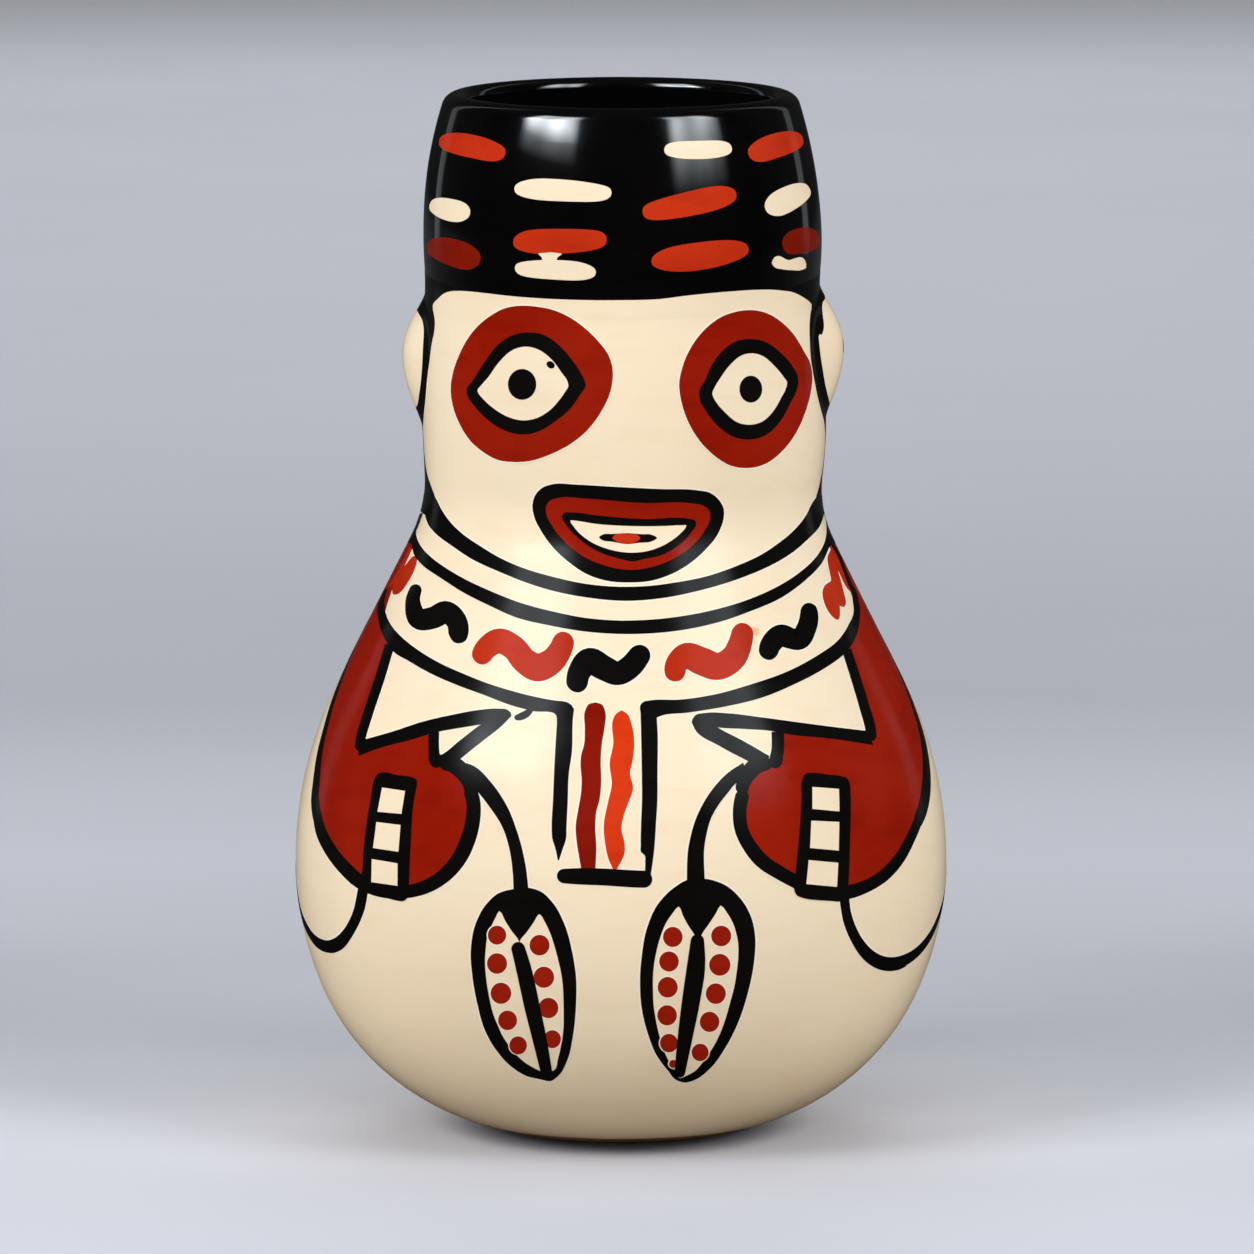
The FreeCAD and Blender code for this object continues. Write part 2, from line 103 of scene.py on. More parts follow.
def mesh_piece(name, points, cells, finishes, cell_finish=None):
    """Object from points and four-cornered cells. A cell with a doubled corner becomes a triangle,
    one shrunk to a line goes, and points that no cell uses are dropped."""
    doubled = cells == np.roll(cells, -1, 1)
    whole = doubled.sum(1) < 2
    cells, doubled = cells[whole], doubled[whole]
    used, cells = np.unique(cells, return_inverse=True)
    cells = cells.reshape(-1, 4)
    corners = (~doubled).sum(1)
    mesh = bpy.data.meshes.new(name)
    mesh.vertices.add(len(used))
    mesh.vertices.foreach_set("co", points[used].ravel())
    mesh.loops.add(int(corners.sum()))
    mesh.loops.foreach_set("vertex_index", cells[~doubled].astype(np.int32))
    mesh.polygons.add(len(cells))
    mesh.polygons.foreach_set("loop_start", (np.cumsum(corners) - corners).astype(np.int32))
    for finish in finishes:
        mesh.materials.append(finish)
    if cell_finish is not None:
        mesh.polygons.foreach_set("material_index", cell_finish[whole].astype(np.int32))
    mesh.update(calc_edges=True)
    mesh.validate()
    mesh.shade_smooth()
    mesh.set_sharp_from_angle(angle=SHARP_TURN)
    piece = bpy.data.objects.new(name, mesh)
    bpy.context.scene.collection.objects.link(piece)
    return piece


def ring_cells(numbers, wrap_rows):
    """Cells of a grid of point numbers, closed round along its columns, and its rows if asked."""
    rows = numbers if not wrap_rows else np.concatenate([numbers, numbers[:1]])
    rows = np.concatenate([rows, rows[:, :1]], 1)
    return np.stack([rows[:-1, :-1], rows[:-1, 1:], rows[1:, 1:], rows[1:, :-1]], -1).reshape(-1, 4)


AROUND = np.linspace(-np.pi, np.pi, 360, endpoint=False)


def turned_wall(name, outside, inside, finishes, to_axis=False):
    """Closed wall turned about the leaning axis: the outside line from low to high and the inside
    line back down, each (radius, height); the first finish is outside, the second inside."""
    line = np.concatenate([outside, inside])
    r, z = line[:, :1], line[:, 1:]
    points = np.stack([hand_lean(z) + r * np.sin(AROUND), -r * np.cos(AROUND), z + 0 * AROUND], -1) * MM
    numbers = np.arange(r.size * AROUND.size).reshape(r.size, AROUND.size)
    if to_axis:
        numbers[[0, -1]] = numbers[[0, -1], :1]
    cells = ring_cells(numbers, not to_axis)
    row = np.arange(len(cells)) // AROUND.size
    return mesh_piece(name, points.reshape(-1, 3), cells, finishes, row >= len(outside) - 1)


class Knob:
    """A value in a material. Its operators add Math nodes, so shader sums read as sums."""

    tree = None

    def __init__(self, socket):
        self.socket = socket

    @classmethod
    def node(cls, kind, settings=None, output=0, **values):
        """Adds a node of a type: settings first, then a number or Knob for each socket, called by
        its name with _ for a space, or in0, in1 by its place; gives one output as a Knob."""
        made = cls.tree.nodes.new(kind)
        for key, value in (settings or {}).items():
            setattr(made, key, value)
        for key, value in values.items():
            numbered = key.startswith("in") and key[2:].isdigit()
            socket = made.inputs[int(key[2:])] if numbered else made.inputs[key.replace("_", " ")]
            if isinstance(value, Knob):
                cls.tree.links.new(value.socket, socket)
            else:
                socket.default_value = value
        return cls(made.outputs[output])

    @classmethod
    def worked(cls, operation, first, second):
        return cls.node("ShaderNodeMath", {"operation": operation}, in0=first, in1=second)

    def __add__(self, other):
        return Knob.worked("ADD", self, other)

    __radd__ = __add__

    def __sub__(self, other):
        return Knob.worked("SUBTRACT", self, other)

    def __rsub__(self, other):
        return Knob.worked("SUBTRACT", other, self)

    def __mul__(self, other):
        return Knob.worked("MULTIPLY", self, other)

    __rmul__ = __mul__


def clouds(scale, detail=3.0, stretch=(1.0, 1.0, 1.0)):
    """Soft noise from 0 to 1, scale in clouds per metre, drawn out by stretch."""
    spot = Knob.node("ShaderNodeTexCoord", output="Object")
    spot = Knob.node("ShaderNodeMapping", Vector=spot, Scale=stretch)
    return Knob.node("ShaderNodeTexNoise", output="Fac", Vector=spot, Scale=scale, Detail=detail)


def risen(value, low, high):
    """0 below low, 1 above high, even between."""
    return Knob.node("ShaderNodeMapRange", in0=value, in1=low, in2=high)


def blended(share, first, second):
    """Colour between two by a share from 0 to 1."""
    first, second = [c if isinstance(c, Knob) else (*c, 1.0) for c in (first, second)]
    return Knob.node("ShaderNodeMix", {"data_type": "RGBA"}, output=2, in0=share, in6=first, in7=second)


def slip(name, body, thin, deep, roughness=0.16, shine=0.09, coat=0.0, wave=0.3):
    """Burnished slip: a body colour with thinner and deeper tones of it in soft clouds and in faint
    level strokes of the burnishing stone, fine dark grains, and a surface not quite even."""
    material = bpy.data.materials.new(name)
    material.use_nodes = True
    Knob.tree = material.node_tree
    shader = material.node_tree.nodes["Principled BSDF"]
    colour = blended(risen(clouds(30.0, 4.0), 0.38, 0.62), thin, body)
    colour = blended(risen(clouds(85.0, 3.0, (1.0, 1.0, 3.0)), 0.5, 0.78) * 0.5, colour, deep)
    colour = blended(risen(clouds(1700.0, 1.0), 0.68, 0.76) * 0.35, colour, deep)
    Knob.tree.links.new(colour.socket, shader.inputs["Base Color"])
    gloss = roughness * (0.85 + 0.5 * risen(clouds(70.0), 0.35, 0.7))
    Knob.tree.links.new(gloss.socket, shader.inputs["Roughness"])
    height = clouds(16.0, 1.0) * wave + clouds(210.0, 2.0, (1.0, 1.0, 0.5)) * 0.0035
    bump = Knob.node("ShaderNodeBump", Strength=1.0, Distance=0.001, Height=height)
    Knob.tree.links.new(bump.socket, shader.inputs["Normal"])
    shader.inputs["Specular IOR Level"].default_value = shine
    shader.inputs["Coat Weight"].default_value = coat
    shader.inputs["Coat Roughness"].default_value = 0.04
    return material


def belongs(piece, slot, *nodes):
    """The piece rides on the jar and stands for its clay nodes, if any, which it hides. The slot is not used.
    """
    if nodes:
        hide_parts(*nodes)
    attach(piece, "root")
    return piece


foot_clay = slip("foot_clay", (0.26, 0.13, 0.07), (0.31, 0.17, 0.09), (0.15, 0.07, 0.04), 0.6)
inside_clay = slip("inside_clay", (0.30, 0.14, 0.075), (0.36, 0.18, 0.10), (0.17, 0.08, 0.045), 0.6)
heel = (FOOT_RADIUS, heel_curve, heel_curve, -np.pi / 2, -HEEL_TURN)
slab_side = arc_line((*heel[:4], slab_turn), np.linspace(0.0, BURNISHED_OFF, 14), 14)
slab_top = arc_line((*heel[:4], slab_in_turn), CLAY, 10)[::-1]
foot = turned_wall(
    "foot",
    np.concatenate([FOOT_MIDDLE, slab_side]),
    np.concatenate([slab_top, SLAB_MIDDLE]),
    (foot_clay, inside_clay),
    to_axis=True,
)
belongs(foot, "bare_clay", "foot_slab")

# The lower belly: a bowl of clay coils pulled up from the slab to the widest girth, coated with
# cream slip and rubbed with a stone until it shines. A coil inside strengthens its seam.
BELLY_BEVEL = 5.0

bowl_curve = (BELLY_LEVEL * np.cos(HEEL_TURN) - belly_reach * (1 - np.sin(HEEL_TURN))) / heel_share
bowl = (BELLY_RADIUS - bowl_curve, BELLY_LEVEL, bowl_curve, -HEEL_TURN, 0.0)
cream_slip = slip("cream_slip", (0.90, 0.76, 0.56), (0.91, 0.78, 0.585), (0.87, 0.70, 0.49))


def wall_line(arcs, depth, low, high, step=1.2):
    """Even points along arcs at one depth between two heights, with one more 0.03 mm inside each
    end, which turns the shading at a seam the same way on both its sides."""
    every = np.concatenate([arc_line(arc, depth) for arc in arcs])
    length = np.concatenate([[0.0], np.cumsum(np.hypot(*np.diff(every, axis=0).T))])
    first, last = np.interp([low, high], every[:, 1], length)
    even = np.linspace(first, last, int((last - first) / step) + 3)
    spots = np.concatenate([even[:1], even[:1] + 0.03, even[1:-1], even[-1:] - 0.03, even[-1:]])
    return np.stack([np.interp(spots, length, every[:, 0]), np.interp(spots, length, every[:, 1])], 1)


lower_belly = turned_wall(
    "lower_belly",
    wall_line((heel, bowl), BURNISHED_OFF, slab_side[-1, 1], BELLY_LEVEL),
    wall_line((heel, bowl), CLAY, slab_top[0, 1], BELLY_LEVEL - BELLY_BEVEL)[::-1],
    (cream_slip, inside_clay),
)
belongs(lower_belly, "cream_slip", "lower_belly_wall")

# The upper belly: a second wall drawn in from the girth to the neck, luted on a bevelled seam
# that is smoothed away outside. The same cream slip runs over it.
NECK_RADIUS = 42.0
NECK_BEVEL = 5.0
SHOULDER_RISE = 79.6
WAIST_LEVEL = BELLY_LEVEL + SHOULDER_RISE
WAIST_CURVE = 25.8
SHOULDER_FULLNESS = 0.828
CHEEK_RISE = 17.9
CHEEK_OUT = 0.75

shoulder_fall = BELLY_RADIUS - NECK_RADIUS
shoulder_most = (SHOULDER_RISE**2 + shoulder_fall**2) / (2 * shoulder_fall)
shoulder_curve = shoulder_most * SHOULDER_FULLNESS - WAIST_CURVE
shoulder_mid = BELLY_RADIUS - shoulder_curve
waist_mid = NECK_RADIUS + WAIST_CURVE
between_mids = np.hypot(waist_mid - shoulder_mid, SHOULDER_RISE)
slope_turn = np.arctan2(SHOULDER_RISE, waist_mid - shoulder_mid)
slope_turn = slope_turn - np.arccos((shoulder_curve + WAIST_CURVE) / between_mids)
neck_level = WAIST_LEVEL - WAIST_CURVE * np.sin(slope_turn)
neck_in_level = neck_level - CLAY * np.sin(slope_turn) - NECK_BEVEL * np.cos(slope_turn)
shoulder = (shoulder_mid, BELLY_LEVEL, shoulder_curve, 0.0, slope_turn)
cheek_sum = (CHEEK_RISE**2 + CHEEK_OUT**2) / (2 * CHEEK_OUT)
chin_turn = np.arcsin(CHEEK_RISE / cheek_sum)
waist = (waist_mid, WAIST_LEVEL, -WAIST_CURVE, slope_turn, -chin_turn)
upper_belly = turned_wall(
    "upper_belly",
    wall_line((shoulder, waist), BURNISHED_OFF, BELLY_LEVEL, neck_level),
    wall_line((bowl, shoulder, waist), CLAY, BELLY_LEVEL - BELLY_BEVEL, neck_in_level)[::-1],
    (cream_slip, inside_clay),
)
belongs(upper_belly, "cream_slip", "upper_belly_wall")

# The face wall: the head grows out of the neck, a little fuller at the cheeks and drawn in at the
# brow. Cream slip outside; inside, black slip was swilled down from the mouth to the neck.
BROW_RISE = 23.5
BROW_DRAWN_IN = 1.1
BROW_CURVE = 62.0
BROW_BEVEL = 4.4
CAP_RISE = 10.5
CAP_OUT = 0.4

cheek_level = WAIST_LEVEL + CHEEK_RISE
cheek_radius = NECK_RADIUS + CHEEK_OUT
brow_level = cheek_level + BROW_RISE
brow_radius = cheek_radius - BROW_DRAWN_IN
jaw_curve = cheek_sum - WAIST_CURVE
temple_sum = (BROW_RISE**2 + BROW_DRAWN_IN**2) / (2 * BROW_DRAWN_IN)
temple_curve = temple_sum - BROW_CURVE
temple_turn = np.arcsin(BROW_RISE / temple_sum)
cap_sum = (CAP_RISE**2 + CAP_OUT**2) / (2 * CAP_OUT)
cap_foot_turn = np.arcsin(CAP_RISE / cap_sum)
jaw = (cheek_radius - jaw_curve, cheek_level, jaw_curve, -chin_turn, 0.0)
temple = (cheek_radius - temple_curve, cheek_level, temple_curve, 0.0, temple_turn)
brow = (brow_radius + BROW_CURVE, brow_level, -BROW_CURVE, temple_turn, -cap_foot_turn)
cap_black = (0.0016, 0.0014, 0.0014), (0.0024, 0.002, 0.002), (0.001, 0.001, 0.001)
cap_slip = slip("cap_slip", *cap_black, roughness=0.1, shine=0.5, coat=0.6)
head_arcs = (shoulder, waist, jaw, temple, brow)
head = turned_wall(
    "head",
    wall_line(head_arcs, BURNISHED_OFF, neck_level, brow_level),
    wall_line(head_arcs, CLAY, neck_in_level, brow_level - BROW_BEVEL)[::-1],
    (cream_slip, cap_slip),
)
belongs(head, "cream_slip", "face_wall")

# The cap wall: it swells out a little over the brow and leans in to the mouth. Black slip covers
# it inside and out, burnished to a deep shine.
CREST_RISE = 31.0
RIM_DRAWN_IN = 7.65
LIP_OUTSIDE = 3.5
RIM_HEIGHT = 7.0
RIM_BEVEL = 5.0

cap_level = brow_level + CAP_RISE
cap_radius = brow_radius + CAP_OUT
top_level = cap_level + CREST_RISE
crest_radius = cap_radius - RIM_DRAWN_IN
lip_rise = CREST_RISE - LIP_OUTSIDE
cap_foot_curve = cap_sum - BROW_CURVE
cap_curve = (RIM_DRAWN_IN**2 + lip_rise**2 - LIP_OUTSIDE**2) / (2 * (RIM_DRAWN_IN - LIP_OUTSIDE))
lip_turn = np.arcsin(lip_rise / (cap_curve - LIP_OUTSIDE))
rim_level = top_level - RIM_HEIGHT
cap_foot = (cap_radius - cap_foot_curve, cap_level, cap_foot_curve, -cap_foot_turn, 0.0)
cap_swell = (cap_radius - cap_curve, cap_level, cap_curve, 0.0, lip_turn)
cap_arcs = (temple, brow, cap_foot, cap_swell)
cap = turned_wall(
    "cap",
    wall_line(cap_arcs, BURNISHED_OFF, brow_level, rim_level),
    wall_line(cap_arcs, CLAY, brow_level - BROW_BEVEL, rim_level - RIM_BEVEL)[::-1],
    (cap_slip, cap_slip),
)
belongs(cap, "black_slip", "cap_wall")

# The rim: a rolled coil that finishes the open mouth, round outside and tighter inside, under the
# same black slip as the cap.
LIP_INSIDE = 2.3

lip = (crest_radius, top_level - LIP_OUTSIDE, LIP_OUTSIDE, lip_turn, np.pi / 2)
lip_inner = (crest_radius, top_level - LIP_INSIDE, LIP_INSIDE, np.pi / 2, np.pi)
lip_line = arc_line(lip, BURNISHED_OFF, 26)
roll_line = arc_line(lip_inner, np.linspace(BURNISHED_OFF, 0.0, 18), 18)[1:]
throat_foot = wall_line(cap_arcs, CLAY, rim_level - RIM_BEVEL, rim_level)[0]
throat = roll_line[-1] + (throat_foot - roll_line[-1]) * np.linspace(0.01, 1.0, 9)[:, None]
rim_outside = wall_line((cap_swell, lip), BURNISHED_OFF, rim_level, lip_line[0, 1] - 0.1)
rim = turned_wall(
    "rim",
    np.concatenate([rim_outside, lip_line, roll_line]),
    throat,
    (cap_slip, cap_slip),
)
belongs(rim, "black_slip", "rim_coil")

# The seam coils: three rolls of clay pressed along the seams inside, never slipped. They stay as
# the clay model has them.
for node in ("base_seam_coil", "belly_seam_coil", "neck_seam_coil"):
    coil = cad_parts[node]
    coil.data.materials.clear()
    coil.data.materials.append(inside_clay)

# The ears: two small lugs of clay pressed on the sides of the head and smoothed into it, with no
# groove round them. They are cream, like the face.
EAR_BACK = np.radians(94.0)
EAR_LEVELS = {-1: 164.9, 1: 166.9}
EAR_REACHES = {-1: 3.9, 1: 4.5}
EAR_HALF_WIDTH = np.radians(22.0)
EAR_UP = 12.6
EAR_DOWN = 16.0
EAR_FULLNESS = 1.4
SLIP_FOOT = -0.1

skin_arcs = (heel, bowl, *head_arcs, cap_foot, cap_swell, lip)
skin = np.concatenate([arc_line(arc, BURNISHED_OFF) for arc in skin_arcs])
skin_r, skin_z = skin[:, 0], skin[:, 1] + np.arange(len(skin)) * 1e-7
skin_fall = np.gradient(skin_r, skin_z)


def ear_swell(around, z):
    """Height of the ears over the wall: their reach times (1 - d squared) to the power EAR_FULLNESS,
    where d is the elliptic distance from the ear's middle, shorter upwards than downwards."""
    turned = (around + np.pi) % (2 * np.pi) - np.pi
    across = (np.abs(turned) - EAR_BACK) / EAR_HALF_WIDTH
    level = np.where(turned < 0, EAR_LEVELS[-1], EAR_LEVELS[1])
    upright = (z - level) / np.where(z > level, EAR_UP, EAR_DOWN)
    reach = np.where(turned < 0, EAR_REACHES[-1], EAR_REACHES[1])
    return reach * np.clip(1 - across**2 - upright**2, 0, 1) ** EAR_FULLNESS


def on_clay(around, z, lift, with_ears=True):
    """Point at an angle round from the face and a height, lifted square off the clay: the skin's
    radius, plus the ear where there is one, turned about the leaning axis."""
    fall = np.interp(z, skin_z, skin_fall)
    square = lift / np.hypot(1.0, fall)
    r = np.interp(z, skin_z, skin_r) + square + (ear_swell(around, z) if with_ears else 0.0)
    return np.stack([hand_lean(z) + r * np.sin(around), -r * np.cos(around), z - square * fall], -1) * MM


def outward(points, cells):
    """The cells turned so that their closed shell faces out: its volume comes above nought."""
    a, b, c, d = (points - points.mean(0))[cells].transpose(1, 0, 2)
    volume = np.einsum("ij,ij->", a, np.cross(b, c)) + np.einsum("ij,ij->", a, np.cross(c, d))
    return cells if volume > 0 else cells[:, ::-1]


def round_shell(grid, lift, under=SLIP_FOOT, under_ears=True):
    """Closed thin shell on the clay from a grid of rings (angle, height), the first its middle: the
    rings lifted outside, then the same rings under the slip's foot, back to the middle."""
    around, z = grid[..., 0], grid[..., 1]
    foot_side = on_clay(around, z, under, under_ears)[::-1]
    points = np.concatenate([on_clay(around, z, lift), foot_side])
    numbers = np.arange(points.shape[0] * points.shape[1]).reshape(points.shape[:2])
    numbers[[0, -1]] = numbers[[0, -1], :1]
    points = points.reshape(-1, 3)
    return points, outward(points, ring_cells(numbers, False))


def lug(name, side):
    """Ear of clay: rings from its middle to its smoothed foot, on the swell; its back is sunk."""
    turn = np.linspace(0, 2 * np.pi, 72, endpoint=False)
    reach = np.sin(np.linspace(0, np.pi / 2, 22))[:, None]
    rise = np.where(np.sin(turn) > 0, EAR_UP, EAR_DOWN) * np.sin(turn)
    around = side * (EAR_BACK + EAR_HALF_WIDTH * reach * np.cos(turn))
    grid = np.stack([around, EAR_LEVELS[side] + reach * rise], -1)
    points, cells = round_shell(grid, 0.01, -2.0, False)
    return mesh_piece(name, points, cells, (cream_slip,))


belongs(lug("ear_left", -1), "cream_slip", "left_ear")
belongs(lug("ear_right", 1), "cream_slip", "right_ear")

# The hair: black slip laid round the back of the head from cheek to cheek and over the roots of
# the ears. Its front edges frame the face; the brow stays cream just over the cap's seam.
HAIR_LIFT = 0.04
CREAM_ON_HAIR_LIFT = 0.08
ROUND_PLANE = 50.0
NEAREST = 100.0
HALVINGS = 40
HAIR_FOOT, HAIR_TOP = 130.6, 183.0
NAPE_EASE = 0.6
BROW_COLUMNS = 9
BROW_SINK, BROW_SINK_SHARE = 0.14, 0.3
EAR_MARK_PLACE, EAR_MARK_LEVEL = np.radians(95.0), 166.0


def from_photo(x, y):
    """Angle round from the face and height of the clay seen at pixels of the photograph: halves
    each sight line between before the jar and abreast of its axis until it meets the clay."""
    x, y = np.broadcast_arrays(np.asarray(x, float), np.asarray(y, float))
    ray = lens_pixels * sight + (x[..., None] - PHOTO_SIDE / 2) * right_way
    ray = ray + (PHOTO_SIDE / 2 - y[..., None]) * up_way
    ray = ray / ray[..., 1:2]
    near = np.full(x.shape, -NEAREST - eye[1])
    far = np.full(x.shape, -eye[1])
    for _ in range(HALVINGS):
        middle = (near + far) / 2
        off, back, z = np.moveaxis(eye + ray * middle[..., None], -1, 0)
        around = np.arctan2(off - hand_lean(z), -back)
        clear = np.hypot(off - hand_lean(z), back) > np.interp(z, skin_z, skin_r) + ear_swell(around, z)
        near = np.where(clear, middle, near)
        far = np.where(clear, far, middle)
    return np.stack([around, z], -1)


def photo(points):
    """(angle, height) of each pixel (x, y)."""
    return from_photo(*np.array(points, float).T)


def side(points):
    """(angle, height) of each (degrees round from the face, height)."""
    return np.array(points, float) * (np.pi / 180, 1.0)


def drawn(points, count, closed=False, scale=(ROUND_PLANE, 1.0)):
    """Even points on a smooth line through points: between two, a cubic whose slope at each is the
    parabola's through it and its neighbours. Scale gives the first two columns the same unit."""
    points = np.array(points, float)
    if closed:
        points = np.concatenate([points[-2:], points, points[:3]])
    unit = np.ones(points.shape[1])
    unit[:2] = scale
    points = points * unit
    at = np.concatenate([[0.0], np.cumsum(np.hypot(*np.diff(points[:, :2], axis=0).T))])
    slope = np.gradient(points, at, axis=0)
    ends = (at[2], at[-3]) if closed else (at[0], at[-1])
    fine = np.linspace(*ends, 30 * len(points))
    i = np.clip(np.searchsorted(at, fine, side="right") - 1, 0, len(at) - 2)
    gap = (at[i + 1] - at[i])[:, None]
    t = (fine[:, None] - at[i][:, None]) / gap
    line = (2 * t**3 - 3 * t**2 + 1) * points[i] + (t**3 - 2 * t**2 + t) * gap * slope[i]
    line = line + (3 * t**2 - 2 * t**3) * points[i + 1] + (t**3 - t**2) * gap * slope[i + 1]
    length = np.concatenate([[0.0], np.cumsum(np.hypot(*np.diff(line[:, :2], axis=0).T))])
    even = np.linspace(0.0, length[-1], count, endpoint=not closed)
    return np.stack([np.interp(even, length, column) for column in line.T], 1) / unit


def between(first, second, count=60, across=5):
    """Grid from one edge to the other: both drawn smooth, then even steps across from one to the
    other at the same share of their length."""
    first, second = drawn(first, count)[:, None], drawn(second, count)[:, None]
    return first + (second - first) * np.linspace(0, 1, across)[:, None]


def strip_shell(grid, lift, under=SLIP_FOOT):
    """Closed thin shell on the clay from a grid (angle, height), rows along and columns across: each
    row goes over the top and back underneath, and both ends are shut."""
    around, z = grid[..., 0], grid[..., 1]
    points = np.concatenate([on_clay(around, z, lift), on_clay(around, z, under)[:, ::-1]], 1)
    numbers = np.arange(points.shape[0] * points.shape[1]).reshape(points.shape[:2])
    half = grid.shape[1]
    front, back = numbers[0], numbers[-1]
    over, under_side = slice(0, half - 1), slice(1, half)
    first = np.stack([front[under_side], front[over], front[::-1][over], front[::-1][under_side]], 1)
    last = np.stack([back[over], back[under_side], back[::-1][under_side], back[::-1][over]], 1)
    points = points.reshape(-1, 3)
    return points, outward(points, np.concatenate([ring_cells(numbers, False), first, last]))


def laid_on(name, shells, finish, slot):
    """One piece of slip from several shells of (points, cells)."""
    starts = np.cumsum([0] + [len(points) for points, _ in shells])
    points = np.concatenate([points for points, _ in shells])
    cells = np.concatenate([cells + start for (_, cells), start in zip(shells, starts)])
    return belongs(mesh_piece(name, points, cells, (finish,)), slot)


FACE_LEFT = [
    (437, 517), (436.5, 502), (431.5, 487), (426.6, 471), (424, 449), (423, 432), (423.4, 421),
    (425.5, 399), (428.8, 366.7), (432.3, 340.7), (434.2, 332), (434.9, 321), (433.4, 312), (432.4, 306.5),
    (433.8, 303), (437, 299.5), (441, 296), (446, 292), (453, 287),
]
FACE_RIGHT = [
    (812, 517), (813, 505), (816, 497), (820, 482), (823.3, 464), (825, 445), (824.8, 427), (821, 410),
    (816.8, 393), (813.6, 375.4), (811, 360), (809.9, 343), (809.5, 327.7), (810.3, 314.7), (811.8, 305.5),
    (809.5, 301.8), (805, 298.5), (798.5, 294.6), (789, 288.5),
]
FACE_TOP = [
    (434.5, 304), (437, 300.5), (440, 297), (444, 293.7), (450, 291.5), (460, 290.9), (470, 291.5),
    (484, 293), (521, 297), (564, 299.5), (618.5, 300.2), (660, 299), (687, 295.6), (730, 291.5),
    (752, 290), (773.5, 289.8), (782, 290.6), (790, 291.6), (798, 294.5), (804, 298), (809.5, 302.5),
]

left_edge = drawn(photo(FACE_LEFT), 60)
right_edge = drawn(photo(FACE_RIGHT), 60)
right_edge[:, 0] -= 2 * np.pi
share = np.linspace(0, 1, 120)
nape = np.sin(np.pi * share)[:, None] ** NAPE_EASE
hair_z = left_edge[:, 1] * (1 - share[:, None]) + right_edge[:, 1] * share[:, None]
level_z = np.linspace(HAIR_FOOT, HAIR_TOP, 60)
hair_z = hair_z * (1 - nape) + level_z * nape
hair_around = left_edge[:, 0] * (1 - share[:, None]) + right_edge[:, 0] * share[:, None]
hair_grid = np.stack([hair_around, hair_z], -1)
black_slip = slip("black_slip", (0.0034, 0.003, 0.0028), (0.005, 0.0045, 0.0042), (0.002, 0.002, 0.002))
laid_on("hair", [strip_shell(hair_grid, HAIR_LIFT)], black_slip, "black_slip")

brow_foot = side([(-66, 170), (-50, 173), (-30, 175.5), (0, 176), (30, 175.5), (50, 173), (64, 171)])
brow_grid = between(brow_foot, photo(FACE_TOP), 110, BROW_COLUMNS)
brow_share = np.linspace(0, 1, BROW_COLUMNS)
brow_lift = CREAM_ON_HAIR_LIFT - BROW_SINK * np.clip(1 - brow_share / BROW_SINK_SHARE, 0, 1)
EAR_FRONTS = {
    -1: [(419.6, 315), (422.6, 321), (424, 330), (423.8, 337), (423, 351), (422.4, 365), (421, 382),
         (419.4, 394), (418, 403.5), (416.3, 407)],
    1: [(824.5, 299.6), (822.5, 303), (822, 308), (823, 318), (823.8, 326), (822.8, 332), (821, 335.4),
        (818.7, 334), (819, 342), (820, 352), (822.7, 370), (825, 384), (827.8, 396), (830.8, 404.7)],
}
EAR_BACKS = {
    -1: [(-96, 153.5), (-104, 158), (-108.5, 165), (-106, 170.5), (-98, 173)],
    1: [(96, 153.5), (104, 158), (108.5, 166), (106, 173), (98, 176.5)],
}
ear_marks = []
for ear_side, ear_front in EAR_FRONTS.items():
    outline = drawn(np.concatenate([photo(ear_front), side(EAR_BACKS[ear_side])]), 90, closed=True)
    middle = np.array([ear_side * EAR_MARK_PLACE, EAR_MARK_LEVEL])
    rings = np.linspace(0, 1, 16)[:, None, None]
    ear_marks.append(round_shell(middle + (outline - middle) * rings, CREAM_ON_HAIR_LIFT))
laid_on("brow_and_ears", [strip_shell(brow_grid, brow_lift), *ear_marks], cream_slip, "cream_slip")

# The marks on the cap: short strokes of cream and red slip in three loose rows, each laid with one
# press of a full brush, and two drips of cream. The rows run on round the back.
CAP_MARK_LIFT = 0.05
PRESS = 2.5
MARK_HALF_DROP = 2.6
BACK_ROWS = (209.5, 199.5, 189.5)
BACK_FIRST, BACK_LAST, BACK_STEP = 112, 250, 34
BACK_LEAST = (-1.6, -4, 8.5)
BACK_MOST = (1.6, 4, 11.5)
BACK_LONGER = 1.25

cream_mark_slip = slip("cream_mark_slip", (0.90, 0.76, 0.56), (0.92, 0.79, 0.60), (0.85, 0.68, 0.47))
red_mark_slip = slip("red_mark_slip", (0.50, 0.028, 0.006), (0.56, 0.035, 0.008), (0.36, 0.015, 0.004))
deep_mark_slip = slip("deep_mark_slip", (0.20, 0.008, 0.002), (0.24, 0.012, 0.003), (0.13, 0.005, 0.001))


def filled(outline, rings=7, count=64):
    """Grid of rings from an outline's middle out to it; the outline is drawn smooth."""
    outline = drawn(outline, count, closed=True)
    middle = outline.mean(0)
    return middle + (outline - middle) * np.linspace(0, 1, rings)[:, None, None]


def full_oval():
    """Turn, along and across of an oval with full ends: the cosine and the sine of the turn, each
    to the power 2 over PRESS with its own sign."""
    turn = np.linspace(0, 2 * np.pi, 40, endpoint=False)
    along, across = np.cos(turn), np.sin(turn)
    along = np.sign(along) * np.abs(along) ** (2 / PRESS)
    return turn, along, np.sign(across) * np.abs(across) ** (2 / PRESS)


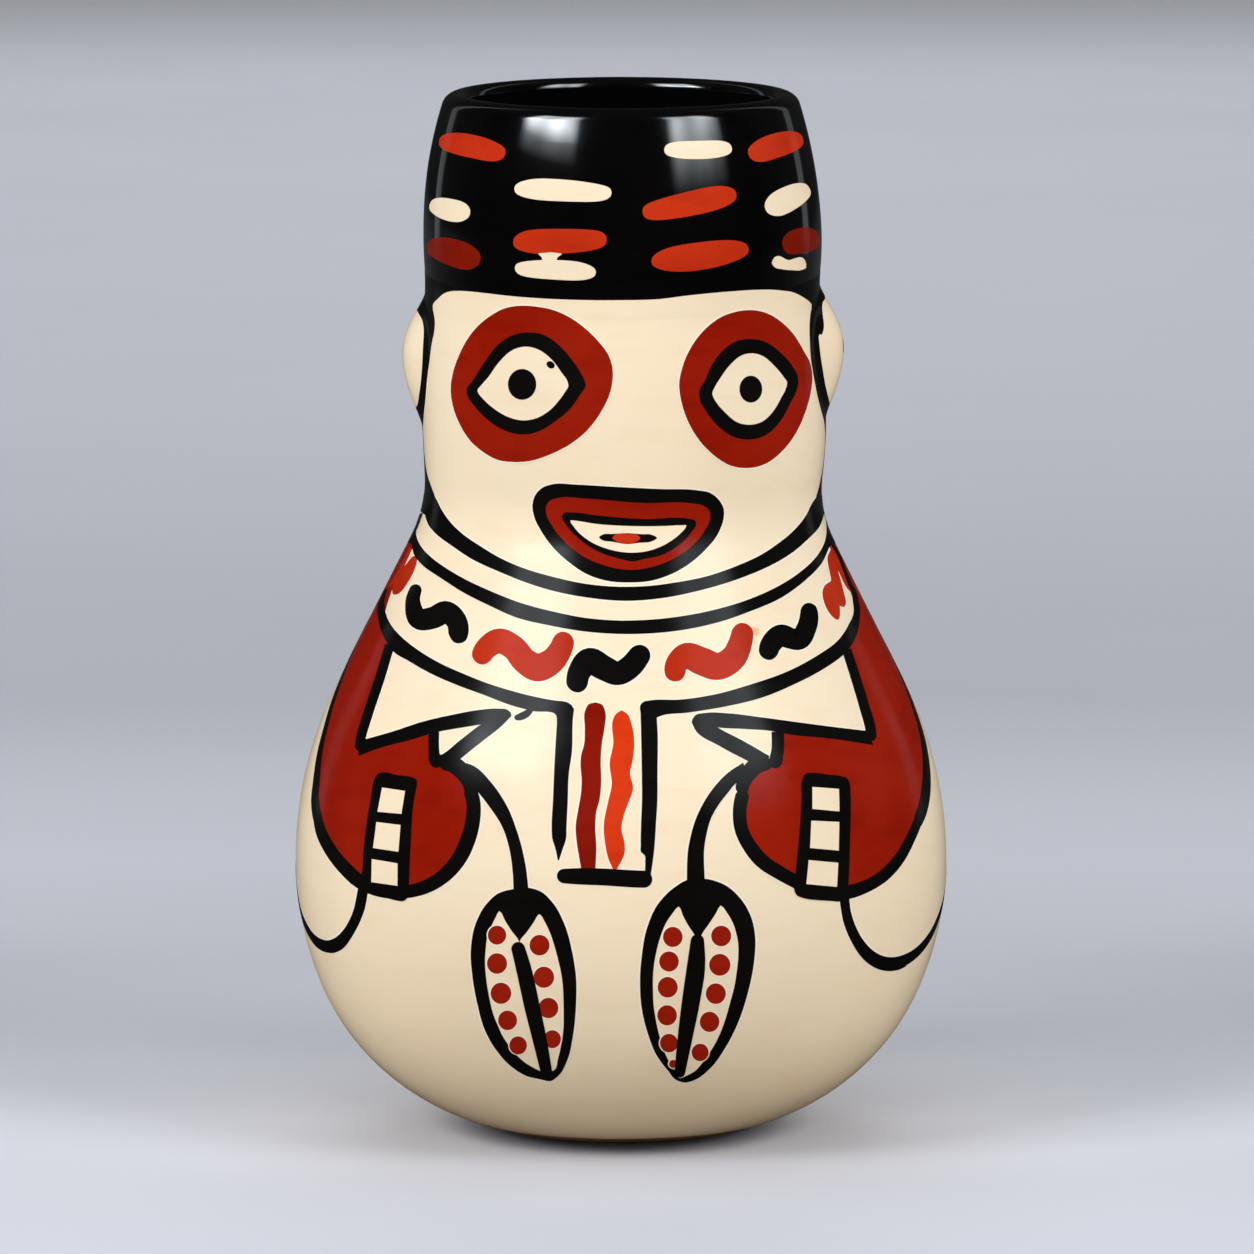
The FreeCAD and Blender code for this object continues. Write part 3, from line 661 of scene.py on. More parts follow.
def pressed(start, stop, half, wobble=0.0):
    """Outline in pixels of one press of the brush: a full oval, its sides a little uneven."""
    start, stop = np.array(start, float), np.array(stop, float)
    turn, along, across = full_oval()
    reach = np.hypot(*(stop - start)) / 2 + half * 0.6
    way = (stop - start) / np.hypot(*(stop - start))
    across = across * (1 + 0.06 * np.sin(2 * turn + wobble) + 0.05 * np.sin(turn * 3 + 2 * wobble))
    square = np.array([-way[1], way[0]])
    return (start + stop) / 2 + along[:, None] * way * reach + across[:, None] * square * half


CAP_MARKS = [
    ("red", (446, 142), (499, 152), 11.5), ("cream", (670, 150), (726, 149), 9.7),
    ("red", (755, 152), (796, 140.5), 12), ("cream", (436, 206.5), (464, 212.5), 10.5),
    ("cream", (521, 189), (605, 192.5), 11.2), ("red", (650, 211.5), (729, 195.5), 12.8),
    ("cream", (772, 206.5), (803, 191.8), 12), ("deep", (435, 247.5), (473, 258.5), 13),
    ("red", (521, 242.2), (599, 239.6), 13), ("cream", (521, 268), (590, 272.3), 10),
    ("red", (659, 261), (741, 250), 13), ("deep", (790, 244.5), (811.6, 238), 12.5),
]
mark_shells = {"red": [], "cream": [], "deep": []}
for number, (colour, start, stop, half) in enumerate(CAP_MARKS):
    grid = filled(photo(pressed(start, stop, half, number * 1.7)))
    mark_shells[colour].append(round_shell(grid, CAP_MARK_LIFT + 0.01 * (number % 2)))
DRIPS = [
    [(538.5, 254), (545, 252.8), (556, 252.8), (562, 254.2), (558, 257), (556.5, 260), (556, 266), (543, 266),
     (542.5, 260), (541.5, 257)],
    [(771.7, 263), (773.9, 258), (779.4, 256.1), (783.9, 258.3), (787.8, 260), (795, 258.3), (800.6, 257.2),
     (805, 261.1), (806.1, 266.7), (802.2, 269.6), (792.2, 270.2), (781.1, 269), (774.4, 267)],
]
for drip in DRIPS:
    mark_shells["cream"].append(round_shell(filled(photo(drip), 6, 48), CAP_MARK_LIFT + 0.02))
back_random = np.random.default_rng(7)
for row, level in enumerate(BACK_ROWS):
    places = np.arange(BACK_FIRST + BACK_STEP // 2 * (row % 2), BACK_LAST, BACK_STEP)
    for number, place in enumerate(places):
        lean, shift, long = back_random.uniform(BACK_LEAST, BACK_MOST)
        _, along, across = full_oval()
        oval = np.stack([np.radians(place + shift + long * along * BACK_LONGER),
                         level + lean * along + MARK_HALF_DROP * across], 1)
        colour = ("red", "cream", "deep", "cream")[(number + row) % 4]
        mark_shells[colour].append(round_shell(filled(oval), CAP_MARK_LIFT))
laid_on("cap_marks_red", mark_shells["red"], red_mark_slip, "bare_clay")
laid_on("cap_marks_cream", mark_shells["cream"], cream_mark_slip, "cream_slip")
laid_on("cap_marks_deep_red", mark_shells["deep"], deep_mark_slip, "bare_clay")

# The eyes: a round patch of red slip, on it a black almond, a cream almond inside that and a black
# pupil, each burnished before the next was laid.
EYE_PATCH_LIFT, EYE_RING_LIFT, EYE_WHITE_LIFT, PUPIL_LIFT = 0.10, 0.13, 0.16, 0.19

red_slip = slip("red_slip", (0.268, 0.0085, 0.0018), (0.31, 0.0125, 0.003), (0.185, 0.005, 0.001))
EYE_PATCHES = [
    [(521, 305.6), (536, 306.5), (553.5, 310), (571, 318), (586, 329), (599, 342), (609, 356), (612.7, 369),
     (612.4, 382), (609.4, 395), (601, 412), (588, 429.6), (571, 443.7), (549, 455), (532, 460.6), (514, 462),
     (497, 459.5), (482, 451), (469, 439), (460, 424), (453.7, 408), (451, 390.6), (453.7, 371), (459, 356),
     (466.7, 340.7), (477.6, 326.6), (490.6, 315.8), (505.8, 308)],
    [(749.6, 310), (764.8, 312.5), (780, 321), (793, 334), (803.8, 351.6), (810.8, 366.7), (812, 377.6),
     (810.3, 392.8), (805, 412), (795, 434), (782, 451), (764.8, 464), (747.4, 468), (730, 465.4),
     (712.7, 454.5), (697.6, 438.3), (686.7, 418.8), (680.7, 399), (679, 384), (682.4, 366.7), (691, 347),
     (704, 330), (719, 318), (734.4, 312)],
]
EYE_RINGS = [
    [(467, 392.3), (474.5, 378.5), (484, 363.5), (497, 346), (510, 336.4), (527.4, 332.3), (545, 335.3),
     (560, 346), (573, 361), (583.8, 378.7), (586, 384.5), (584.5, 389), (581.6, 392.8), (571, 408),
     (555.6, 421), (540.4, 430.7), (523, 434.4), (505.8, 430.7), (488.4, 420), (475.4, 406.8), (468.5, 397)],
    [(698.9, 395), (700, 388), (704, 382), (710.6, 366.7), (721.4, 351.6), (734.4, 341.8), (749.6, 339),
     (764.8, 341.8), (780, 352.6), (793, 367.8), (797.5, 376.5), (797.8, 384), (796, 391), (790.8, 401.4),
     (780, 421), (767, 434), (749.6, 439.4), (732, 436), (717, 425.3), (705, 410), (700, 401)],
]
EYE_WHITES = [
    [(478, 391), (482, 385), (488.4, 377.6), (499.3, 362.4), (512.3, 350.5), (526.4, 346.6), (540.4, 350.5),
     (553.5, 361.3), (562, 373), (567.5, 381), (568.6, 385.6), (565.5, 391.5), (560, 399.3), (549, 411),
     (536, 418.3), (523, 420.3), (508, 416.6), (495, 409), (484, 399.3), (479.5, 394)],
    [(712, 393.8), (714.5, 387), (719, 379.7), (730, 364.6), (741, 355.5), (750.7, 353.3), (762.6, 356.3),
     (773.5, 365.6), (783, 377), (786.5, 382.6), (785, 389), (781, 397), (773.5, 410), (762.6, 421),
     (749.6, 424.6), (736.6, 422), (724.7, 412.3), (717, 403.6), (713, 397)],
]


def dab(x, y, wide, high=None, tilt=0.0):
    """Outline in pixels of a round or oval dab of the brush, turned by a tilt in degrees."""
    turn = np.linspace(0, 2 * np.pi, 28, endpoint=False)
    tilt = np.radians(tilt)
    across, up = wide * np.cos(turn), (high or wide) * np.sin(turn)
    return np.stack([x + across * np.cos(tilt) - up * np.sin(tilt),
                     y + across * np.sin(tilt) + up * np.cos(tilt)], 1)


def patches(outlines, lift, rings=9, count=96):
    """Round shells, one for each outline in pixels."""
    return [round_shell(filled(photo(outline), rings, count), lift) for outline in outlines]


# The last dab is no pupil: it is a thin dark dash along the far edge of the right ear.
PUPILS = [dab(522.5, 384.3, 14.1, 15.4), dab(750.3, 389.1, 11.3, 13.4), dab(550.9, 364.8, 4.3, 3.4, 35),
          dab(843.9, 346, 0.9, 6.5)]
laid_on("eye_patches", patches(EYE_PATCHES, EYE_PATCH_LIFT), red_slip, "bare_clay")
laid_on("eye_rings", patches(EYE_RINGS, EYE_RING_LIFT), black_slip, "black_slip")
laid_on("eye_whites", patches(EYE_WHITES, EYE_WHITE_LIFT), cream_mark_slip, "cream_slip")
laid_on("pupils", patches(PUPILS, PUPIL_LIFT, 5, 40), black_slip, "black_slip")

# The mouth: a wide bowl shape in black, filled with a red band, a thinner black line and cream for
# the teeth, and in its middle a small dark and red dash.
MOUTH_SHAPES = [
    ("mouth_line", black_slip, "black_slip", 0.04,
     [(532.4, 505.5), (534.4, 496.8), (540.4, 489), (553.5, 484), (575, 484.5), (618.5, 487), (660, 489),
      (697.6, 490.3), (710.6, 493), (719, 500), (724, 510), (723.6, 518.5), (718, 533.7), (706, 549),
      (689, 564), (669.4, 575), (650, 581), (631, 582.5), (607.7, 581), (586, 573.8), (568.6, 562),
      (553.5, 548), (541.5, 531.5), (534, 516)]),
    ("mouth_band", red_slip, "bare_clay", 0.08,
     [(546, 506.6), (549, 501.6), (558, 498), (586, 498.6), (643, 503), (691, 503.3), (704, 506),
      (709.5, 511), (710, 518.5), (704, 531.5), (691, 546.7), (671.6, 559.7), (652, 567), (632.5, 570),
      (603, 565), (581.6, 555.4), (564, 541), (552.4, 526), (546.5, 514)]),
    ("mouth_inner_line", black_slip, "black_slip", 0.12,
     [(562, 516), (564, 513), (571, 512.4), (597, 515.3), (643, 519), (690, 519), (695, 520.3), (696, 523),
      (691, 532.6), (678, 545.6), (660.7, 555.4), (643, 559.3), (634.7, 561.4), (618.5, 558.6), (597, 551),
      (579.5, 539), (566.5, 525)]),
    ("mouth_teeth", cream_mark_slip, "cream_slip", 0.15,
     [(570.5, 520.3), (574, 520.5), (597, 524), (629, 526), (665, 526), (681, 525.3), (686.3, 525.6),
      (684.5, 529), (680, 533.7), (667, 543.4), (652, 550), (633, 552.8), (607.7, 549), (588, 540),
      (575, 528)]),
    ("mouth_dash", black_slip, "black_slip", 0.18,
     [(599, 537.5), (603, 534.6), (612, 534), (627, 533.3), (641, 534.2), (652, 535), (657, 538),
      (652, 541.3), (640, 542.8), (627, 544), (612, 541.8), (602, 540)]),
    ("mouth_dash_red", red_mark_slip, "bare_clay", 0.2,
     [(612.4, 538), (615, 535), (627, 534.3), (637, 535), (640.2, 538.2), (636, 542), (626, 543),
      (615.5, 541)]),
]
for name, finish, slot, lift, outline in MOUTH_SHAPES:
    laid_on(name, patches([outline], lift, 10, 110), finish, slot)

# The chin line, the neck line and the collar: three black brush lines. The neck line goes all the
# way round; the collar hangs in front like a bib, from one side of the jar to the other.
LINE_LIFT = 0.09

CHIN_TOP = [
    (437, 500), (440.7, 507.7), (449.4, 520.7), (462.4, 533.7), (479.7, 545.6), (501.4, 558.6),
    (527.4, 569.5), (553.5, 577), (583.8, 583.6), (618.5, 586.8), (643, 586.4), (676, 582.5), (708, 576),
    (734, 567), (760.5, 555), (780, 542), (795, 529), (806, 515), (811.5, 504),
]
CHIN_FOOT = [
    (424.5, 513), (428.8, 525), (438.5, 536), (451.6, 545.6), (473, 559.7), (501.4, 572.7), (527.4, 583),
    (553.5, 591), (588, 597.7), (625, 600.9), (665, 597.7), (697.6, 591), (730, 581.8), (752, 573.8),
    (773.5, 564), (793, 552), (808, 539), (819, 527), (823.5, 515),
]
NECK_TOP = [
    (422.5, 515), (417.5, 525), (416.3, 532), (417.5, 539), (420, 544.5), (427.7, 554), (443, 566),
    (466.7, 580), (492.7, 592), (521, 603), (553.5, 611.7), (583, 617.6), (620, 620.6), (646, 620),
    (691.8, 614.6), (726, 606.8), (760.7, 594.6), (783.7, 583), (802, 570.5), (818, 554.4), (825, 540),
    (826.3, 532), (826, 524), (826.5, 516),
]
NECK_FOOT = [
    (411.6, 544), (414.7, 555.4), (423.4, 566), (440.7, 578), (466.7, 594.4), (488, 605), (518.8, 618.3),
    (550, 625.5), (583, 631.3), (620, 634), (657, 633), (691.8, 628.4), (726, 620), (749, 611.8),
    (779, 599), (802, 583), (820.4, 564.8), (829.6, 546.4),
]


def round_back(top_and_foot, front):
    """An edge right round: from the middle of the back by the left side to the photographed front
    and on by the right side, at heights given for degrees from the face."""
    left = side([(-degrees, z) for degrees, z in top_and_foot])
    right = side([(degrees, z) for degrees, z in top_and_foot])[::-1]
    return np.concatenate([left, photo(front), right])


neck_top = round_back([(180, 129.0), (150, 129.0), (120, 129.2), (100, 130.0), (90, 130.6)], NECK_TOP)
neck_foot = round_back([(180, 125.8), (150, 125.7), (120, 125.4), (100, 124.9), (90, 124.5)], NECK_FOOT)
COLLAR_TOP = [
    (388, 588.5), (385, 598), (384.9, 606), (385.6, 612), (390, 623), (401.7, 637), (417.7, 649.7),
    (440.7, 663.5), (463.7, 673.8), (486.6, 683), (509.6, 690.3), (532.5, 696.3), (555.5, 700.7),
    (567, 702.3), (572, 705.5), (574, 711),
]
COLLAR_FOOT = [
    (385.5, 589), (379.8, 600), (377.6, 609), (378.7, 618.7), (381, 630), (388, 644), (394.8, 652.7),
    (408.6, 661), (429, 672.7), (456.8, 685), (486.6, 696), (509.6, 704.8), (532.5, 711), (556.6, 716.3),
    (557, 718.5), (557, 722),
]
COLLAR_TOP_RIGHT = [
    (852, 592), (852.5, 600), (853.5, 608), (848, 625.6), (836.5, 641.7), (818, 655), (783.7, 673),
    (749, 685), (714.8, 694.5), (680, 699.7), (650, 700.5), (643, 702), (640, 706), (640.5, 712),
]
COLLAR_FOOT_RIGHT = [
    (855, 592), (858.5, 602), (859.4, 618.7), (854.8, 639), (843, 655), (825, 668), (795, 684),
    (760.7, 698), (726, 706.4), (687, 712.8), (660, 716.3), (656.5, 718), (656, 722), (656, 724),
]
CHIN_SIDE = 97
CHIN_EDGES = ((CHIN_TOP, 134), (CHIN_FOOT, 130.3))
chin_edges = [
    np.concatenate([side([(-CHIN_SIDE, z)]), photo(line), side([(CHIN_SIDE, z)])]) for line, z in CHIN_EDGES
]


def mirrored(sign, points):
    """Side points given for the right, on the side that the sign says."""
    return side([(sign * degrees, z) for degrees, z in points])


def edged(first, second, count=70):
    """Strip between two edges in pixels."""
    return between(photo(first), photo(second), count)


def stepped(grids, lift, step, steps=100):
    """Shells of strips, each a step higher than the one before, from the start again after steps."""
    return [strip_shell(grid, lift + step * (number % steps)) for number, grid in enumerate(grids)]


neck_grids = [
    between(*chin_edges, 160),
    between(neck_top, neck_foot, 320),
    edged(COLLAR_TOP, COLLAR_FOOT, 110),
    edged(COLLAR_TOP_RIGHT, COLLAR_FOOT_RIGHT, 110),
]
laid_on("neck_lines", stepped(neck_grids, LINE_LIFT, 0.01, 2), black_slip, "black_slip")

# The collar's marks: short wavy strokes, red and black in turn, each with round ends where the
# brush was set down and lifted.
MARK_LIFT = 0.06
CORNER_TURNS = (9, 20, 33, 47, 62, 77)

red_wave_slip = slip("red_wave_slip", (0.41, 0.021, 0.0045), (0.47, 0.03, 0.008),
                     (0.30, 0.012, 0.003), shine=0.04)


def brushed(points, first_round=True, last_round=True, count=48, place=from_photo):
    """Grid of a brush stroke along points (x, y, width): its sides stand half the width square off
    the line, and a rounded end closes in along a circle of that half width."""
    line = drawn(points, 400, scale=(1.0, 1.0))
    at = np.concatenate([[0.0], np.cumsum(np.hypot(*np.diff(line[:, :2], axis=0).T))])
    first, last = line[0, 2] / 2 * first_round, line[-1, 2] / 2 * last_round
    corner = 1 - np.cos(np.radians(CORNER_TURNS))
    even = np.linspace(first, at[-1] - last, count)
    spots = np.concatenate([first * corner * (first > 0), even, at[-1] - last * corner[::-1]])
    if not first_round:
        spots = spots[len(corner):]
    if not last_round:
        spots = spots[:-len(corner)]
    x, y, width = [np.interp(spots, at, column) for column in line.T]
    close = np.ones(len(spots))
    if first_round:
        close = np.minimum(close, np.sqrt(1 - np.clip(1 - spots / first, 0, 1) ** 2))
    if last_round:
        close = np.minimum(close, np.sqrt(1 - np.clip(1 - (at[-1] - spots) / last, 0, 1) ** 2))
    way = np.gradient(np.stack([x, y], 1), axis=0)
    way = way / np.hypot(*way.T)[:, None]
    off = np.stack([-way[:, 1], way[:, 0]], 1) * (width * close / 2)[:, None]
    across = np.linspace(-1, 1, 7)[:, None]
    spread = np.stack([x, y], 1)[:, None] + off[:, None] * across
    return place(spread[..., 0], spread[..., 1])


RED_DABS = [
    [(412.3, 557), (416.9, 562.5), (414.5, 570), (408.9, 581), (401.5, 591.5), (395.7, 594.8), (392.4, 592),
     (392.9, 587), (396.2, 578), (401, 570.5), (406.5, 564)],
    [(833.5, 546), (830, 551), (827.4, 560), (829.5, 572), (831, 580), (828.2, 582.7), (824.4, 585.8),
     (822.4, 595), (825.9, 607.2), (832, 616.4), (837.4, 620), (840, 613), (839.4, 606), (843.5, 607.2),
     (845.8, 602), (843, 590), (840.5, 580), (838.1, 572), (838, 560), (836.5, 551)],
]
RED_WAVES = [
    [(411, 548, 3), (403, 565, 3.5), (395, 579, 3), (389.5, 587, 2)],
    [(479, 664, 19), (485, 650, 22), (499.5, 641, 25), (514, 648, 25), (525, 661, 26), (537.5, 667.5, 28),
     (551.5, 661.5, 26), (561, 648.5, 23), (565.5, 632, 20)],
    [(677, 681.5, 20), (675.5, 667, 22), (686, 655.5, 25), (701, 661, 28), (718, 666.5, 27), (733, 658, 26),
     (740.5, 642, 23.5), (743.5, 623, 20)],
    [(833, 549, 3.5), (837.5, 562, 5), (842.5, 575, 4.5), (848, 587, 3), (851.5, 592, 2)],
]
COLLAR_TIP = [
    (832, 544, 3), (839.5, 557.5, 3.4), (844.5, 571, 3.4), (849.5, 584, 4), (854.5, 594, 4.5),
    (856.5, 602, 4.5),
]
BLACK_WAVES = [
    [(417.5, 584.5, 11), (413, 602, 15), (419, 619, 21), (434, 617.5, 22), (446, 612, 22), (457, 622, 21),
     (458, 636, 19), (455.5, 643, 14)],
    [(576.5, 692.5, 21), (579.5, 672, 23), (589, 661, 26), (604, 668, 25), (618, 673.5, 23.5),
     (630.5, 666.5, 23.5), (639.5, 655.5, 22), (645.5, 646.5, 20)],
    [(767.5, 660, 18), (770.5, 645, 21), (781, 635.5, 22), (791, 638.5, 21), (799, 639.5, 21), (806, 629, 20),
     (809, 614, 18), (807, 603, 14)],
]
red_grids = [brushed(wave) for wave in RED_WAVES]
red_dab_grids = [filled(photo(dab_line), 9, 90) for dab_line in RED_DABS]
black_grids = [brushed(wave) for wave in BLACK_WAVES]
red_shells = stepped(red_grids, MARK_LIFT, 0.01, 2)
red_shells += [round_shell(grid, MARK_LIFT) for grid in red_dab_grids]
laid_on("collar_waves_red", red_shells, red_wave_slip, "bare_clay")
black_shells = [strip_shell(grid, MARK_LIFT) for grid in black_grids]
black_shells += [strip_shell(brushed(COLLAR_TIP), MARK_LIFT + 0.02)]
laid_on("collar_waves_black", black_shells, black_slip, "black_slip")
smear_slip = slip("smear_slip", (0.84, 0.52, 0.33), (0.87, 0.60, 0.41), (0.76, 0.40, 0.22))
COLLAR_SMEAR = [(748, 632, 5), (754, 631, 8), (759, 634, 6)]
laid_on("collar_smear", [strip_shell(brushed(COLLAR_SMEAR), 0.03)], smear_slip, "cream_slip")

# The sash: two black posts and a bar frame two wavy bands, dark red and orange, that hang from the
# collar down the middle of the belly.
dark_band_slip = slip("dark_band_slip", (0.205, 0.0056, 0.0012), (0.24, 0.008, 0.002), (0.15, 0.004, 0.001))
orange_slip = slip("orange_slip", (0.60, 0.031, 0.004), (0.66, 0.042, 0.006), (0.47, 0.019, 0.003))
SASH_POSTS = [
    ([(557.3, 712), (557.2, 719), (555.9, 741), (554.2, 773), (553, 802), (551.8, 826.7), (552.5, 839),
      (555.5, 848.7), (558, 860.4)],
     [(574, 708), (573, 718), (571.8, 753), (568.9, 773), (567.7, 802), (566.5, 826.7), (566, 839),
      (562.8, 848.7), (559, 860.4)]),
    ([(640.5, 708), (641, 729), (641.8, 772), (642, 800), (641, 826.7), (640.8, 845), (641.3, 852.5),
      (644.4, 854.8), (645.2, 862), (645, 874)],
     [(656.2, 712), (657.4, 729), (657.4, 772), (657.3, 800), (655.7, 826.7), (655, 839), (654, 851),
      (652.5, 863), (650.5, 876)]),
]
SASH_BAR = [
    (557, 875.8, 13.68), (580, 876.3, 16.302), (605, 877, 16.872), (630, 878.6, 17.1), (652.3, 879.5, 17.1),
]
DARK_BAND = (
    [(594.5, 702.5), (588.5, 704.5), (585.6, 709.5), (584.8, 729), (584.3, 743.6), (581.1, 755.8),
     (580.6, 765.6), (581.6, 777.8), (581.1, 792.5), (578.2, 809.6), (575.7, 826.7), (576.7, 841.4),
     (579.4, 858.5), (581.8, 872)],
    [(596, 702.5), (602, 704.5), (604.8, 710), (604.4, 729), (601.9, 743.6), (600.7, 760.7), (601.2, 782.7),
     (599.5, 799.8), (596.3, 812), (595.3, 826.7), (596.3, 846.3), (595.3, 872)],
)
ORANGE_BAND = (
    [(620.8, 710.5), (615.5, 714.5), (612.6, 721), (612.2, 729), (613.4, 741), (609.7, 763), (611.7, 785),
     (608, 802.2), (603.9, 824.3), (605.6, 846.3), (609.2, 860.9), (614, 870.7)],
    [(622.2, 710.5), (627.8, 714.5), (630.8, 721.6), (634.2, 743.6), (632.5, 760.7), (630, 773), (633, 787.6),
     (627.6, 804.7), (624, 814.5), (621.5, 829), (624.6, 843.8), (624.4, 853.6), (620.2, 863.4),
     (615.5, 870.7)],
)

sash_grids = [*[edged(*post) for post in SASH_POSTS], brushed(SASH_BAR)]
band_grids = [edged(*DARK_BAND, 110), edged(*ORANGE_BAND, 110)]
laid_on("sash_lines", stepped(sash_grids, LINE_LIFT + 0.02, 0.005), black_slip, "black_slip")
laid_on("sash_band_dark", [strip_shell(band_grids[0], MARK_LIFT)], dark_band_slip, "bare_clay")
laid_on("sash_band_orange", [strip_shell(band_grids[1], MARK_LIFT + 0.01)], orange_slip, "bare_clay")

# The sleeves: wide areas of red slip from the shoulders down to a round lobe on each side, edged
# by black lines, with a cream cuff ladder. They end behind in one more black line.
SLEEVE_LIFT = 0.03
SLEEVE_TOP = [(77, 126), (78, 118)]

SLEEVES = {
    -1: {
        "rear": [(107, 126.5), (105, 119), (99, 110.7)],
        "rear_seen": [(335, 698), (328, 723), (322.5, 745), (321, 757)],
        "front": [(383, 626), (391, 648), (380, 680), (368.5, 713), (361, 740), (358, 752)],
        "lobe": [(323, 745), (319, 780), (317.5, 802), (322.5, 834), (338, 859), (360, 884), (385, 893),
                 (408, 892), (436, 884), (460, 862), (472, 835), (474, 808), (471, 790), (464, 775),
                 (453, 767), (440, 764), (434.5, 750), (432, 737), (400, 740), (370, 748), (340, 745)],
    },
    1: {
        "rear": [(107, 126.5), (105, 117), (99, 107)],
        "rear_seen": [(913, 710), (919.5, 733), (923, 757)],
        "front": [(857, 622), (847, 648), (857, 675), (865.5, 702), (872, 733), (871, 747)],
        "lobe": [(921.5, 745), (924, 784), (919, 812), (905, 844), (888, 872), (864, 888), (840, 893),
                 (812, 891), (784, 880), (760, 862), (744, 838), (739, 812), (742, 793), (749, 776),
                 (760, 768), (772, 764), (777, 758), (777.5, 736), (800, 731), (830, 733), (868, 739),
                 (895, 740)],
    },
}
sleeve_shells = []
for sign, shape in SLEEVES.items():
    rear = np.concatenate([mirrored(sign, shape["rear"]), photo(shape["rear_seen"])])
    front = np.concatenate([mirrored(sign, SLEEVE_TOP), photo(shape["front"])])
    sleeve_shells.append(strip_shell(between(rear, front, 110, 24), SLEEVE_LIFT + 0.01))
    sleeve_shells.append(round_shell(filled(photo(shape["lobe"]), 18, 120), SLEEVE_LIFT))
laid_on("sleeves", sleeve_shells, red_slip, "bare_clay")


def from_side(x, y):
    """Angle and height of a point on the flat plan of the wall, x in millimetres round the girth of
    radius ROUND_PLANE."""
    return np.stack([x / ROUND_PLANE, y + 0 * x], -1)


def brushed_side(hidden, seen=(), **ends):
    """Brush stroke on the flat plan of the wall: hidden points (degrees round from the face, height,
    width in millimetres), then seen ones (pixel x, pixel y, width in millimetres)."""
    flat = np.array(hidden, float) * (np.pi / 180 * ROUND_PLANE, 1.0, 1.0)
    if len(seen):
        places = photo([(x, y) for x, y, _ in seen]) * (ROUND_PLANE, 1.0)
        flat = np.concatenate([flat, np.column_stack([places, [width for _, _, width in seen]])])
    return brushed(flat, place=from_side, **ends)


SLEEVE_LINES = [
    brushed_side(
        [(-107.5, 127, 3), (-105.5, 119.5, 3), (-99.5, 111, 3)],
        [(335, 696, 3), (327, 723, 3), (320, 752, 3.2), (316.5, 780, 3.6), (315, 800, 3.8), (317, 815, 3.7),
         (321, 828, 3.3)],
        first_round=False,
        count=90,
    ),
    brushed([(317, 815, 8), (321.5, 832, 11), (332, 852, 12.5), (345, 868, 13.5), (360, 881.5, 14),
             (384, 891, 13.5), (408, 891.5, 13), (425.5, 887, 13.5), (442, 877.5, 14), (457.5, 861, 15),
             (468, 840, 15), (473, 820, 14.5), (473.5, 802, 14), (469, 787, 14)]),
    brushed_side(
        [(107.5, 127, 3), (105.5, 117, 3), (99.5, 107, 3.1)],
        [(914.5, 710, 3.4), (921.5, 733, 3.8), (926, 760, 4.1), (926.5, 784, 4.3), (921.5, 812, 3.6),
         (915.5, 825, 3.1)],
        first_round=False,
        count=90,
    ),
    brushed([(921.5, 812, 8), (910.5, 838, 9.5), (898, 860, 11), (883, 876, 12), (866.5, 886, 12.5),
             (846, 892.5, 14), (820, 893, 13), (794.5, 881, 13.5), (776.5, 871, 14), (763, 862, 14.5),
             (749.5, 846, 14), (741.5, 830, 13.5), (739.7, 808.5, 13.5), (743.5, 790, 14)]),
]
HAND_LINES = [
    brushed([(390, 645, 9.5), (379.5, 680, 9.6), (368.5, 713, 9.6), (360.5, 741, 9.5),
             (359.5, 751, 9)], first_round=False),
    edged([(360, 741), (394.8, 731), (422, 722), (452, 715), (479.7, 710), (498, 708.7), (508, 710),
           (511, 713)],
          [(358.5, 756), (383, 747), (408.6, 740.4), (439, 731.7), (462, 727.6), (481.6, 724.3), (500, 721),
           (511.5, 716)]),
    edged([(436, 757), (441, 755), (461, 739.8), (481.6, 724.3), (495, 717), (508, 713)],
          [(444, 770), (459, 760), (472, 749.5), (486.6, 738), (500, 727.5), (511.5, 716)]),
    brushed([(434, 732, 10.5), (434, 750, 10.5), (436, 767, 12)], first_round=False),
    brushed([(440, 764, 12), (450, 765, 13), (461, 772, 14), (469.5, 784, 13.5), (472, 794, 13)]),
    brushed([(434.5, 752, 11), (436.5, 761, 13), (442, 765, 11)]),
    brushed([(444, 761, 12), (455, 765, 16), (464, 772, 14), (470, 780, 9)]),
    brushed([(532.5, 709, 4), (527, 713.5, 7), (520, 717, 7), (514.5, 718, 4.5)]),
    brushed([(846.5, 650, 9.2), (855.5, 678, 9.6), (864, 706, 10), (871, 733, 10.2),
             (871.5, 741, 9.5)], first_round=False),
    edged([(866.5, 731), (829.6, 726.6), (795, 722), (760.7, 717.4), (728.6, 713.5), (706, 713), (695, 715.5),
           (692, 720)],
          [(873, 745), (829.6, 738.5), (783.7, 733.5), (771, 731), (745, 729), (717, 727.3), (703, 724.5),
           (692.5, 723)]),
    edged([(769, 756), (743, 741), (717, 727.3), (706, 720), (695, 717)],
          [(766, 770), (745.8, 760), (719.4, 746), (696, 731), (691.5, 722)]),
    brushed([(777.5, 732, 12), (777.5, 750, 12.3), (774, 766, 13)], first_round=False),
    brushed([(772, 764, 12), (762, 765, 13), (751, 772, 14), (743.5, 783, 13.5), (741, 794, 13)]),
    brushed([(777, 752, 12), (775, 762, 13), (770, 765, 11)]),
    brushed([(768, 761, 12), (757, 765, 16), (748, 772, 14), (742.5, 780, 9)]),
]
laid_on("sleeve_lines", stepped(SLEEVE_LINES, LINE_LIFT, 0.004), black_slip, "black_slip")
laid_on("hand_lines", stepped(HAND_LINES, LINE_LIFT, 0.006, 6), black_slip, "black_slip")

# The cuffs: a black ladder on each sleeve with three cream panes, and from its foot a thin hem
# line that hangs in a loop and goes on round the back in three more.
CUFF_LIFT = 0.13
PANE_LIFT = 0.16

